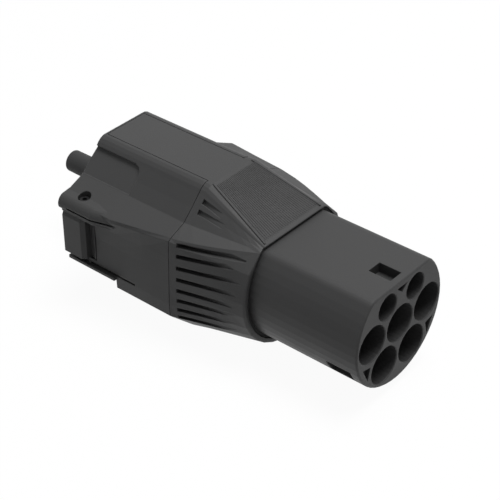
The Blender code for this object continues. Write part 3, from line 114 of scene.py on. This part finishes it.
# %% The grain group
def group(name, inputs, outputs):
    """An empty node group; its sockets are numbers, except for Vector and Rounded Normal."""
    tree = bpy.data.node_groups.new(name, "ShaderNodeTree")
    for socket in inputs:
        kind = "NodeSocketVector" if socket in ("Vector", "Rounded Normal") else "NodeSocketFloat"
        tree.interface.new_socket(socket, in_out="INPUT", socket_type=kind)
    for socket in outputs:
        tree.interface.new_socket(socket, in_out="OUTPUT", socket_type="NodeSocketFloat")
    return tree, tree.nodes.new("NodeGroupInput"), tree.nodes.new("NodeGroupOutput")


grain_inputs = ("Vector", "Pits per Metre", "Cloud Scale")
grain, given, out = group("moulded_grain", grain_inputs, ("Height", "Cloud"))
pits = node(grain, "ShaderNodeTexNoise", Detail=3.0, Roughness=0.62)
cells = node(grain, "ShaderNodeTexVoronoi", {"feature": "SMOOTH_F1"}, Smoothness=0.6)
both = node(grain, "ShaderNodeMath", {"operation": "MULTIPLY_ADD"})
both.inputs[1].default_value = 0.6
cloud = node(grain, "ShaderNodeTexNoise", Detail=4.0, Roughness=0.55)
for texture in (pits, cells, cloud):
    link(grain, given.outputs["Vector"], texture.inputs["Vector"])
link(grain, given.outputs["Pits per Metre"], pits.inputs["Scale"])
link(grain, given.outputs["Pits per Metre"], cells.inputs["Scale"])
link(grain, given.outputs["Cloud Scale"], cloud.inputs["Scale"])
link(grain, cells.outputs["Distance"], both.inputs[0])
link(grain, pits.outputs["Fac"], both.inputs[2])
link(grain, both.outputs[0], out.inputs["Height"])
link(grain, cloud.outputs["Fac"], out.inputs["Cloud"])
print("grain group:", len(grain.nodes), "nodes")

# %% [markdown]
# ## Rubbed edges: the second shared effect
# Where a plug is handled, the grain is polished off its edges first, and they turn a
# little paler. A Bevel node in each material gives the normal that a rounded edge would
# have. Where that differs from the flat one there is an edge, and a noise breaks the
# mask up, so that no line of wear is even.

# %% The edge group
edges, given, out = group("rubbed_edges", ("Vector", "Rounded Normal", "Amount"), ("Mask",))
flat = node(edges, "ShaderNodeNewGeometry")
same = node(edges, "ShaderNodeVectorMath", {"operation": "DOT_PRODUCT"})
bend = node(edges, "ShaderNodeMapRange", From_Min=1.0, From_Max=0.86)
patchy = node(edges, "ShaderNodeTexNoise", Scale=190.0, Detail=4.0)
broken = node(edges, "ShaderNodeMapRange", From_Min=0.35, From_Max=0.65, To_Min=0.25)
worn = node(edges, "ShaderNodeMath", {"operation": "MULTIPLY"})
scaled = node(edges, "ShaderNodeMath", {"operation": "MULTIPLY", "use_clamp": True})
link(edges, given.outputs["Rounded Normal"], same.inputs[0])
link(edges, flat.outputs["Normal"], same.inputs[1])
link(edges, same.outputs["Value"], bend.inputs["Value"])
link(edges, given.outputs["Vector"], patchy.inputs["Vector"])
link(edges, patchy.outputs["Fac"], broken.inputs["Value"])
link(edges, bend.outputs["Result"], worn.inputs[0])
link(edges, broken.outputs["Result"], worn.inputs[1])
link(edges, worn.outputs[0], scaled.inputs[0])
link(edges, given.outputs["Amount"], scaled.inputs[1])
link(edges, scaled.outputs[0], out.inputs["Mask"])
print("edge group:", len(edges.nodes), "nodes")

# %% [markdown]
# ## One recipe for every plastic and rubber
# The shells, the inner parts and the rubber are all dark and matt. They differ in
# colour, in the size of their grain and in how round their edges are, so one function
# makes them with different values. The clouds shift the colour by a few parts in a
# hundred and the roughness by a little more, which is what keeps a dark matt surface
# from looking like flat paint.

# %% The recipe
CLOUDS_PER_METRE = 42.0
GRAIN_STRENGTH = 0.55
PLASTIC_SPECULAR = 0.27
RUBBED_GAIN = 1.9
RUBBED_LIFT = 0.01


def matt(name, dark, light, roughness, pits_per_metre, depth, rounding, wear):
    """A matt moulded surface between two greys, with grain, soft edges and a little wear."""
    material = bpy.data.materials.new(name)
    material.use_nodes = True
    tree = material.node_tree
    shader = tree.nodes["Principled BSDF"]
    place = node(tree, "ShaderNodeTexCoord").outputs["Object"]
    fine = node(tree, "ShaderNodeGroup", {"node_tree": grain},
                Pits_per_Metre=pits_per_metre, Cloud_Scale=CLOUDS_PER_METRE)
    link(tree, place, fine.inputs["Vector"])
    rounded = node(tree, "ShaderNodeBevel", {"samples": 6}, Radius=rounding)
    rubbed = node(tree, "ShaderNodeGroup", {"node_tree": edges}, Amount=wear)
    link(tree, place, rubbed.inputs["Vector"])
    link(tree, rounded.outputs[0], rubbed.inputs["Rounded Normal"])
    tone = node(tree, "ShaderNodeMix", {"data_type": "RGBA"})
    tone.inputs["A"].default_value = (*dark, 1)
    tone.inputs["B"].default_value = (*light, 1)
    link(tree, fine.outputs["Cloud"], tone.inputs["Factor"])
    rubbed_tone = [min(1.0, value * RUBBED_GAIN + RUBBED_LIFT) for value in light]
    pale = node(tree, "ShaderNodeMix", {"data_type": "RGBA"})
    pale.inputs["B"].default_value = (*rubbed_tone, 1)
    link(tree, rubbed.outputs["Mask"], pale.inputs["Factor"])
    link(tree, tone.outputs["Result"], pale.inputs["A"])
    link(tree, pale.outputs["Result"], shader.inputs["Base Color"])
    gloss = node(tree, "ShaderNodeMapRange", From_Min=0.3, From_Max=0.7,
                 To_Min=roughness - 0.05, To_Max=roughness + 0.06)
    link(tree, fine.outputs["Cloud"], gloss.inputs["Value"])
    link(tree, gloss.outputs["Result"], shader.inputs["Roughness"])
    bump = node(tree, "ShaderNodeBump", Strength=GRAIN_STRENGTH, Distance=depth)
    link(tree, fine.outputs["Height"], bump.inputs["Height"])
    link(tree, rounded.outputs[0], bump.inputs["Normal"])
    link(tree, bump.outputs["Normal"], shader.inputs["Normal"])
    shader.inputs["Specular IOR Level"].default_value = PLASTIC_SPECULAR
    return material


def grey(level):
    """A very slightly cool grey."""
    return (level, level * 1.003, level * 1.012)


# Dark grey, light grey, roughness, pits per metre, depth of a pit, edge radius, wear.
nose_plastic = matt("nose_plastic", grey(0.034), grey(0.041), 0.50, 2600, 0.00006, 0.0005, 0.35)
collar_plastic = matt("collar_plastic", grey(0.038), grey(0.046), 0.52, 2400, 0.00007, 0.0004, 0.40)
housing_plastic = matt("housing_plastic", grey(0.033), grey(0.041), 0.52, 2400, 0.00007, 0.0006, 0.40)
latch_plastic = matt("latch_plastic", grey(0.035), grey(0.042), 0.50, 2700, 0.00005, 0.0004, 0.55)
cover_plastic = matt("cover_plastic", grey(0.034), grey(0.042), 0.62, 2200, 0.00006, 0.0005, 0.20)
inner_plastic = matt("inner_plastic", grey(0.026), grey(0.034), 0.64, 2000, 0.00005, 0.0003, 0.10)
sleeve_rubber = matt("sleeve_rubber", grey(0.030), grey(0.037), 0.72, 3200, 0.00005, 0.0003, 0.15)
seal_rubber = matt("seal_rubber", grey(0.022), grey(0.028), 0.78, 3200, 0.00004, 0.0002, 0.05)

# %% [markdown]
# ## Metals
# The contact pins are turned and silver plated: fine rings run round them, two
# hundredths of a millimetre deep, and the plating has dull patches. The screws and the
# spring are plain bright steel with the same kind of fine lines. The latch pin is painted
# nearly black as painted shade, so the hole in the ledge looks dark, as it does in the picture.

# %% The metal recipe
PATCHES_PER_METRE = 320.0
RING_STRENGTH = 0.35
RING_DEPTH = 0.00002


def metal(name, dull, bright, roughness, rings_per_metre, axis):
    """A metal with fine turned rings about one axis, and patches of two tones."""
    material = bpy.data.materials.new(name)
    material.use_nodes = True
    tree = material.node_tree
    shader = tree.nodes["Principled BSDF"]
    shader.inputs["Metallic"].default_value = 1.0
    place = node(tree, "ShaderNodeTexCoord").outputs["Object"]
    rings = node(tree, "ShaderNodeTexWave", {"bands_direction": axis}, Scale=rings_per_metre,
                 Distortion=1.2, Detail=3.0, Detail_Scale=2.0)
    patches = node(tree, "ShaderNodeTexNoise", Scale=PATCHES_PER_METRE, Detail=5.0)
    link(tree, place, rings.inputs["Vector"])
    link(tree, place, patches.inputs["Vector"])
    tone = node(tree, "ShaderNodeMix", {"data_type": "RGBA"})
    tone.inputs["A"].default_value = (*dull, 1)
    tone.inputs["B"].default_value = (*bright, 1)
    link(tree, patches.outputs["Fac"], tone.inputs["Factor"])
    link(tree, tone.outputs["Result"], shader.inputs["Base Color"])
    gloss = node(tree, "ShaderNodeMapRange", From_Min=0.3, From_Max=0.7,
                 To_Min=roughness - 0.06, To_Max=roughness + 0.10)
    link(tree, patches.outputs["Fac"], gloss.inputs["Value"])
    link(tree, gloss.outputs["Result"], shader.inputs["Roughness"])
    bump = node(tree, "ShaderNodeBump", Strength=RING_STRENGTH, Distance=RING_DEPTH)
    link(tree, rings.outputs["Fac"], bump.inputs["Height"])
    link(tree, bump.outputs["Normal"], shader.inputs["Normal"])
    return material


# Dull tone, bright tone, roughness, rings per metre, the axis the rings run round.
contact_metal = metal("contact_metal", (0.66, 0.65, 0.62), (0.86, 0.85, 0.82), 0.24, 900, "X")
bright_steel = metal("bright_steel", (0.42, 0.42, 0.43), (0.60, 0.60, 0.61), 0.34, 1400, "X")
# dark_steel goes on the latch pin: its near-black tones are painted shade that make the hole in the
# ledge look shadowed.
dark_steel = metal("dark_steel", (0.018, 0.018, 0.019), (0.045, 0.045, 0.046), 0.48, 1100, "Z")

# %% [markdown]
# ## Give each node its finish
# The record lists a slot for every node. The dark shells share one slot there, but each
# came out of its own mould, so each gets its own finish here.

# %% Assign the finishes
own_finish = {
    "nose_shell": nose_plastic,
    "front_shell": collar_plastic,
    "rear_housing": housing_plastic,
    "side_latch": latch_plastic,
    "rear_cover": cover_plastic,
    "cable_sleeve": sleeve_rubber,
    "nose_seal": seal_rubber,
}
slot_finish = {
    "inner_plastic": inner_plastic,
    "contact_metal": contact_metal,
    "steel": bright_steel,
    # The dark_steel slot carries painted shade: the latch pin is darkened to read as the shadow in its
    # hole.
    "dark_steel": dark_steel,
}
slots = {part["node"]: part["material_slot"] for part in frame["record"]["subparts"]}
for name, obj in nodes.items():
    finish = own_finish.get(name) or slot_finish[slots[name]]
    obj.data.materials.clear()
    obj.data.materials.append(finish)
print("finished nodes:", len(nodes))

# %% [markdown]
# ## The cable sleeve
# Behind the housing stands a short rubber sleeve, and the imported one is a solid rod. The
# real one is a tube that grips the cable. It starts as a cylinder along X: its rear face
# is drawn in, inset and pushed forwards to open the mouth, and the rim is bevelled round.
# Later pieces repeat some of these steps, so three helpers come first.

# %% Three more helpers
def add_round(name, sides, radius, length, centre):
    """A cylinder along X, with its place and turn already in its mesh."""
    deselect()
    bpy.ops.mesh.primitive_cylinder_add(
        vertices=sides, radius=radius, depth=length, location=centre, rotation=(0, math.pi / 2, 0),
    )
    added = bpy.context.object
    added.name = name
    bpy.ops.object.transform_apply(location=True, rotation=True, scale=True)
    return added


def round_edges(obj, width, segments):
    """Bevels the sharp edges of the active piece."""
    modifier = obj.modifiers.new("rounded_edges", "BEVEL")
    modifier.width = width
    modifier.segments = segments
    modifier.limit_method = "ANGLE"
    bpy.ops.object.modifier_apply(modifier=modifier.name)


def select_faces(obj, wanted):
    """In edit mode, selects only the faces whose centre and normal pass the test."""
    mesh = bmesh.from_edit_mesh(obj.data)
    for face in mesh.faces:
        face.select_set(False)
    for face in mesh.faces:
        if wanted(face.calc_center_median(), face.normal):
            face.select_set(True)
    bmesh.update_edit_mesh(obj.data)

# %% Model the sleeve
SLEEVE_RADIUS = 0.0052
CABLE_RADIUS = 0.0036
CABLE_DEPTH = 0.012
REAR_TAPER = 0.933
RIM_ROUNDING = 0.0004
SMOOTH_ANGLE = math.radians(40)
sleeve_low, sleeve_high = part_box("cable_sleeve")
sleeve_z = (sleeve_low.z + sleeve_high.z) / 2
sleeve_centre = ((sleeve_low.x + sleeve_high.x) / 2, 0, sleeve_z)
sleeve = add_round("sleeve_tube", 64, SLEEVE_RADIUS, sleeve_high.x - sleeve_low.x, sleeve_centre)
bpy.ops.object.mode_set(mode="EDIT")
bpy.ops.mesh.select_mode(type="FACE")
select_faces(sleeve, lambda place, normal: normal.x < -0.9)
bpy.ops.transform.resize(value=(1, REAR_TAPER, REAR_TAPER))
bpy.ops.mesh.inset(thickness=SLEEVE_RADIUS * REAR_TAPER - CABLE_RADIUS)
bpy.ops.mesh.extrude_region_move(TRANSFORM_OT_translate={"value": (CABLE_DEPTH, 0, 0)})
bpy.ops.object.mode_set(mode="OBJECT")
round_edges(sleeve, RIM_ROUNDING, 3)
bpy.ops.object.shade_smooth_by_angle(angle=SMOOTH_ANGLE)
print("sleeve faces:", len(sleeve.data.polygons))

# %% [markdown]
# The flange that holds the sleeve in its cover is a wider disc just inside the housing.
# It is a second cylinder on the same axis and stays a piece of its own. Both ride on the
# plug's body, and the imported sleeve is hidden.

# %% Add the flange and hide the imported sleeve
COVER_FRONT = -0.0374
FLANGE_GAP = 0.0003
FLANGE_LENGTH = 0.0025
FLANGE_ROUNDING = 0.0003
flange_radius = (sleeve_high.z - sleeve_low.z) / 2
flange_centre = (COVER_FRONT + FLANGE_GAP + FLANGE_LENGTH / 2, 0, sleeve_z)
flange = add_round("sleeve_flange", 64, flange_radius, FLANGE_LENGTH, flange_centre)
round_edges(flange, FLANGE_ROUNDING, 2)
bpy.ops.object.shade_smooth_by_angle(angle=SMOOTH_ANGLE)
for piece in (sleeve, flange):
    piece.data.materials.append(sleeve_rubber)
    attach(piece, "plug")
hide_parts("cable_sleeve")
print("flange radius:", round(flange_radius, 5))

# %% [markdown]
# ## The gasket in the mouth
# The nose stands in the mouth of the collar with a gap of a millimetre or two all round.
# Just inside the lip a soft rubber gasket closes that gap, so that no rain and no light
# get in, and it shows as a dark band round the nose. It starts as a disc of the mouth's
# size, whose top is cut flat, and its middle is opened for the nose. It is a few
# hundredths of a millimetre too wide on both sides, because rubber is fitted with a
# little pressure.

# %% Cut the disc to the mouth's outline
MOUTH_RADIUS = 0.0288
MOUTH_FLAT = 0.0213
MOUTH_CORNER = 0.0019
GASKET_WIDTH = 0.00164
FLAT_WIDTH = 0.00124
GASKET_DEPTH = 0.0018
GASKET_LENGTH = 0.002
CLOSE = 0.0001
lip_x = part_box("front_shell")[1].x
nose_low, nose_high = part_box("nose_shell")
axis_z = nose_low.z + (nose_high.y - nose_low.y) / 2
flat_z = axis_z + MOUTH_FLAT
gasket = add_round("mouth_gasket", 96, MOUTH_RADIUS, GASKET_LENGTH, (lip_x - GASKET_DEPTH, 0, axis_z))
bpy.ops.object.mode_set(mode="EDIT")
bpy.ops.mesh.select_all(action="SELECT")
bpy.ops.mesh.bisect(plane_co=(0, 0, flat_z), plane_no=(0, 0, 1), use_fill=True, clear_outer=True)
print("disc of", len(bmesh.from_edit_mesh(gasket.data).verts), "vertices, cut at", round(flat_z, 5))

# %% [markdown]
# The bisect leaves two sharp corners, where the flat meets the round. The edges there run
# along X, so they are found by their place and their direction, and bevelled.

# %% Round the two corners
corner_y = math.sqrt(MOUTH_RADIUS ** 2 - MOUTH_FLAT ** 2)


def at_corner(point):
    """Whether a point lies where the flat meets the round."""
    return abs(point.z - flat_z) < CLOSE and abs(abs(point.y) - corner_y) < CLOSE


bpy.ops.mesh.select_mode(type="EDGE")
mesh = bmesh.from_edit_mesh(gasket.data)
for edge in mesh.edges:
    first, last = [vertex.co for vertex in edge.verts]
    along_x = abs(first.x - last.x) > GASKET_LENGTH / 2
    edge.select_set(along_x and at_corner(first) and at_corner(last))
print("corners found:", sum(edge.select for edge in mesh.edges))
bmesh.update_edit_mesh(gasket.data)
bpy.ops.mesh.bevel(offset=MOUTH_CORNER, segments=5, affect="EDGES")

# %% [markdown]
# The inset is as wide all round as the gap beside the nose. Above the nose the gap is
# narrower, so the top of the inset is lifted, and then the two faces are bridged.

# %% Open the disc for the nose
bpy.ops.mesh.select_mode(type="FACE")
select_faces(gasket, lambda place, normal: abs(normal.x) > 0.9)
bpy.ops.mesh.inset(thickness=GASKET_WIDTH)
mesh = bmesh.from_edit_mesh(gasket.data)
for vertex in mesh.verts:
    if vertex.select and vertex.co.z > flat_z - GASKET_WIDTH - CLOSE / 10:
        vertex.co.z = flat_z - FLAT_WIDTH
bmesh.update_edit_mesh(gasket.data)
bpy.ops.mesh.bridge_edge_loops()
bpy.ops.mesh.select_all(action="SELECT")
bpy.ops.mesh.normals_make_consistent(inside=False)
bpy.ops.object.mode_set(mode="OBJECT")
bpy.ops.object.shade_smooth_by_angle(angle=SMOOTH_ANGLE)
gasket.data.materials.append(seal_rubber)
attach(gasket, "plug")
print("gasket faces:", len(gasket.data.polygons))

# %% [markdown]
# ## Touch caps on the pins
# A bare live pin must not be touched, so each one ends in a small insulating cap. One cap
# is a short cylinder whose front is stepped in by an inset and a push forwards, and then
# rounded. All of its steps are shares of its radius. It is modelled once for the power
# pins and once for the thin signal pins, and the others are copies with their own mesh.

# %% Model one cap
CAP_OVERHANG = 0.15
CAP_STEP_WIDTH = 0.28
CAP_STEP_RISE = 0.22
CAP_RIM = 0.30
CAP_DIMPLE = 0.12
CAP_ROUNDING = 0.10
CAP_SMOOTH_ANGLE = math.radians(35)


def touch_cap(tip, radius, length):
    """An insulating cap over the tip of one pin, whose axis is X."""
    centre = (tip.x - length / 2 + radius * CAP_OVERHANG, tip.y, tip.z)
    cap = add_round("cap", 32, radius, length, centre)
    bpy.ops.object.mode_set(mode="EDIT")
    bpy.ops.mesh.select_mode(type="FACE")
    select_faces(cap, lambda place, normal: normal.x > 0.9)
    bpy.ops.mesh.inset(thickness=radius * CAP_STEP_WIDTH)
    bpy.ops.transform.translate(value=(radius * CAP_STEP_RISE, 0, 0))
    bpy.ops.mesh.inset(thickness=radius * CAP_RIM)
    bpy.ops.mesh.extrude_region_move(TRANSFORM_OT_translate={"value": (-radius * CAP_DIMPLE, 0, 0)})
    bpy.ops.object.mode_set(mode="OBJECT")
    round_edges(cap, radius * CAP_ROUNDING, 2)
    bpy.ops.object.shade_smooth_by_angle(angle=CAP_SMOOTH_ANGLE)
    cap.data.materials.append(inner_plastic)
    return cap

# %% Cap all seven pins
SIGNAL_PINS = ("pin_pilot", "pin_proximity")
POWER_CAP = (0.0032, 0.0042)
SIGNAL_CAP = (0.0017, 0.0030)
modelled = {}
for name in [name for name in nodes if name.startswith("pin_") and slots[name] == "contact_metal"]:
    low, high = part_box(name)
    tip = Vector((high.x, (low.y + high.y) / 2, (low.z + high.z) / 2))
    sizes = SIGNAL_CAP if name in SIGNAL_PINS else POWER_CAP
    if sizes in modelled:
        first_cap, first_tip = modelled[sizes]
        cap = bpy.data.objects.new(name + "_cap", first_cap.data.copy())
        bpy.context.scene.collection.objects.link(cap)
        cap.data.transform(Matrix.Translation(tip - first_tip))
    else:
        cap = touch_cap(tip, *sizes)
        cap.name = name + "_cap"
        modelled[sizes] = (cap, tip)
    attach(cap, "plug")
    print("capped", name)

# %% [markdown]
# ## The latch spring
# Behind the press pad stands a little steel coil that pushes it back out. The imported one
# has a wire of four sides, and it stays as long when the pad comes in. Here a circle the
# size of the wire is set beside an axis, and a Screw modifier winds it up. When the pad
# is pressed the coil has to shorten.

# %% Wind the spring
SPRING_TURNS = 5
WIRE_RADIUS = 0.00035
WIRE_SIDES = 10
STEPS_PER_TURN = 24
spring_low, spring_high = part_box("latch_spring")
coil_radius = (spring_high.x - spring_low.x) / 2 - WIRE_RADIUS
coil_start = spring_low.y + WIRE_RADIUS
coil_end = spring_high.y - WIRE_RADIUS
coil_centre = (spring_low + spring_high) / 2
deselect()
bpy.ops.mesh.primitive_circle_add(vertices=WIRE_SIDES, radius=WIRE_RADIUS, location=(coil_radius, 0, 0))
spring = bpy.context.object
spring.name = "spring_coil"
bpy.ops.object.transform_apply(location=True, rotation=True, scale=True)
winding = spring.modifiers.new("winding", "SCREW")
winding.axis = "Y"
winding.angle = math.tau
winding.screw_offset = (coil_end - coil_start) / SPRING_TURNS
winding.iterations = SPRING_TURNS
winding.steps = STEPS_PER_TURN
winding.render_steps = STEPS_PER_TURN
bpy.ops.object.modifier_apply(modifier=winding.name)
print("spring faces:", len(spring.data.polygons), "from", round(coil_start, 5), "to", round(coil_end, 5))

# %% [markdown]
# The wound wire is an open tube round the world's own Y axis. Its two ends are filled, its
# faces are turned outwards, and the coil is moved to its seat and set on the plug's body.

# %% Close the wire and seat the coil
COIL_SMOOTH_ANGLE = math.radians(50)
bpy.ops.object.mode_set(mode="EDIT")
bpy.ops.mesh.select_all(action="SELECT")
bpy.ops.mesh.fill_holes(sides=0)
bpy.ops.mesh.select_all(action="SELECT")
bpy.ops.mesh.normals_make_consistent(inside=False)
bpy.ops.object.mode_set(mode="OBJECT")
wound_low = min(corner[1] for corner in spring.bound_box)
bpy.ops.transform.translate(value=(coil_centre.x, spring_low.y - wound_low, coil_centre.z))
bpy.ops.object.transform_apply(location=True, rotation=True, scale=True)
bpy.ops.object.shade_smooth_by_angle(angle=COIL_SMOOTH_ANGLE)
spring.data.materials.append(bright_steel)
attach(spring, "plug")
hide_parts("latch_spring")
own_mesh(spring)
print("closed faces:", len(spring.data.polygons))

# %% [markdown]
# ## The studio
# The plug lies on a white sheet that has no visible end. To the camera, and in glossy
# reflections, the floor is nearly all white glow with a little pale paint mixed in, and
# the paint is what still shows the soft shadow. Further out the paint fades away, so the
# floor meets the white world without a line. The diffuse rays that carry light around
# see a dimmer floor and a dim world instead, so that the sides of the dark plastic stay
# dark. The main light is one soft panel, high above the plug.

# %% Floor
FLOOR_SIZE = 6.0
FLOOR_DROP = 0.0002
deselect()
bpy.ops.mesh.primitive_plane_add(size=FLOOR_SIZE, location=(0, 0, -FLOOR_DROP))
floor = bpy.context.object
floor.name = "studio_floor"
bpy.ops.object.mode_set(mode="EDIT")
bpy.ops.mesh.subdivide(number_cuts=4)
bpy.ops.object.mode_set(mode="OBJECT")
floor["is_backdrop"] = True
print("floor size:", FLOOR_SIZE)

# %% Pale paint
paint = bpy.data.materials.new("floor_paint")
paint.use_nodes = True
tree = paint.node_tree
shader = tree.nodes["Principled BSDF"]
shader.inputs["Roughness"].default_value = 0.9
shader.inputs["Specular IOR Level"].default_value = 0.1
mottle = node(tree, "ShaderNodeTexNoise", Scale=3.0, Detail=2.0)
wash = node(tree, "ShaderNodeMix", {"data_type": "RGBA"})
wash.inputs["A"].default_value = (0.93, 0.93, 0.93, 1)
wash.inputs["B"].default_value = (0.95, 0.95, 0.95, 1)
link(tree, mottle.outputs["Fac"], wash.inputs["Factor"])
print("paint nodes:", len(tree.nodes))

# %% [markdown]
# The Light Path node tells what kind of ray has arrived. The larger of its three answers
# is 1 for the rays that the camera, a glossy surface or glass sends out.

# %% A helper for the rays
def seen_directly(tree):
    """1 for camera, glossy and transmission rays, 0 for the diffuse rays that carry light."""
    path = node(tree, "ShaderNodeLightPath")
    first = node(tree, "ShaderNodeMath", {"operation": "MAXIMUM"})
    second = node(tree, "ShaderNodeMath", {"operation": "MAXIMUM"})
    link(tree, path.outputs["Is Camera Ray"], first.inputs[0])
    link(tree, path.outputs["Is Glossy Ray"], first.inputs[1])
    link(tree, first.outputs[0], second.inputs[0])
    link(tree, path.outputs["Is Transmission Ray"], second.inputs[1])
    return second.outputs[0]

# %% Glow over the paint
FLOOR_BOUNCE = 0.40
FLOOR_WHITE = 0.95
FADE_START = 0.25
FADE_END = 0.9
seen = seen_directly(tree)
bounce = node(tree, "ShaderNodeMix", {"data_type": "RGBA"})
bounce.inputs["A"].default_value = (FLOOR_BOUNCE, FLOOR_BOUNCE, FLOOR_BOUNCE, 1)
link(tree, seen, bounce.inputs["Factor"])
link(tree, wash.outputs["Result"], bounce.inputs["B"])
link(tree, bounce.outputs["Result"], shader.inputs["Base Color"])
white = node(tree, "ShaderNodeEmission", Strength=1.0)
spot = node(tree, "ShaderNodeTexCoord").outputs["Object"]
away = node(tree, "ShaderNodeVectorMath", {"operation": "LENGTH"})
fade = node(tree, "ShaderNodeMapRange", From_Min=FADE_START, From_Max=FADE_END,
            To_Min=FLOOR_WHITE, To_Max=1.0)
amount = node(tree, "ShaderNodeMath", {"operation": "MULTIPLY"})
link(tree, spot, away.inputs[0])
link(tree, away.outputs["Value"], fade.inputs["Value"])
link(tree, fade.outputs["Result"], amount.inputs[1])
link(tree, seen, amount.inputs[0])
blend = node(tree, "ShaderNodeMixShader")
link(tree, amount.outputs[0], blend.inputs["Fac"])
link(tree, shader.outputs[0], blend.inputs[1])
link(tree, white.outputs[0], blend.inputs[2])
link(tree, blend.outputs[0], tree.nodes["Material Output"].inputs["Surface"])
floor.data.materials.append(paint)
print("the paint fades from", FADE_START, "to", FADE_END, "m")

# %% World
WORLD_LEVEL = 0.21
world = bpy.data.worlds.new("studio_world")
bpy.context.scene.world = world
world.use_nodes = True
tree = world.node_tree
back = tree.nodes["Background"]
power = node(tree, "ShaderNodeMapRange", To_Min=WORLD_LEVEL, To_Max=1.0)
link(tree, seen_directly(tree), power.inputs["Value"])
link(tree, power.outputs["Result"], back.inputs["Strength"])
back.inputs["Color"].default_value = (1, 1, 1, 1)
print("world level:", WORLD_LEVEL)

# %% Lamp
MIDDLE = Vector((0.02, 0, 0.03))
PANEL_PLACE = Vector((0.25, 0.30, 1.85))
PANEL_SIZE = 0.9
PANEL_WATTS = 34
lamp = bpy.data.lights.new("main_panel", "AREA")
lamp.shape = "SQUARE"
lamp.size = PANEL_SIZE
lamp.energy = PANEL_WATTS
panel = bpy.data.objects.new("main_panel", lamp)
panel.location = PANEL_PLACE
panel.rotation_euler = (MIDDLE - PANEL_PLACE).to_track_quat("-Z", "Y").to_euler()
bpy.context.scene.collection.objects.link(panel)
print("lamp:", lamp.name, PANEL_WATTS, "W")

# %% [markdown]
# ## The camera
# The picture was taken from the front left and above, with a long lens and from a little
# over sixty centimetres away. The three directions below are the camera's right, its up
# and the way back from the plug, and they are the columns of its rotation.

# %% Camera
CAMERA_PLACE = (0.3483, -0.3833, 0.3866)
CAMERA_LENS = 109.8
CAMERA_SENSOR = 36.0
back_way = Vector((0.5246, -0.6241, 0.5790)).normalized()
right = Vector((0.7655, 0.6435, 0)).normalized()
up = back_way.cross(right)
camera_data = bpy.data.cameras.new("camera")
camera_data.lens = CAMERA_LENS
camera_data.sensor_width = CAMERA_SENSOR
camera = bpy.data.objects.new("camera", camera_data)
turn = Matrix((right, up, back_way)).transposed()
camera.matrix_world = Matrix.Translation(CAMERA_PLACE) @ turn.to_4x4()
bpy.context.scene.collection.objects.link(camera)
bpy.context.scene.camera = camera
bpy.context.scene.view_settings.view_transform = "Standard"
print("camera distance:", round((camera.matrix_world.translation - MIDDLE).length, 4))

# %% Sizes, and the end
low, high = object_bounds()
print("visual box:", list(low), list(high))
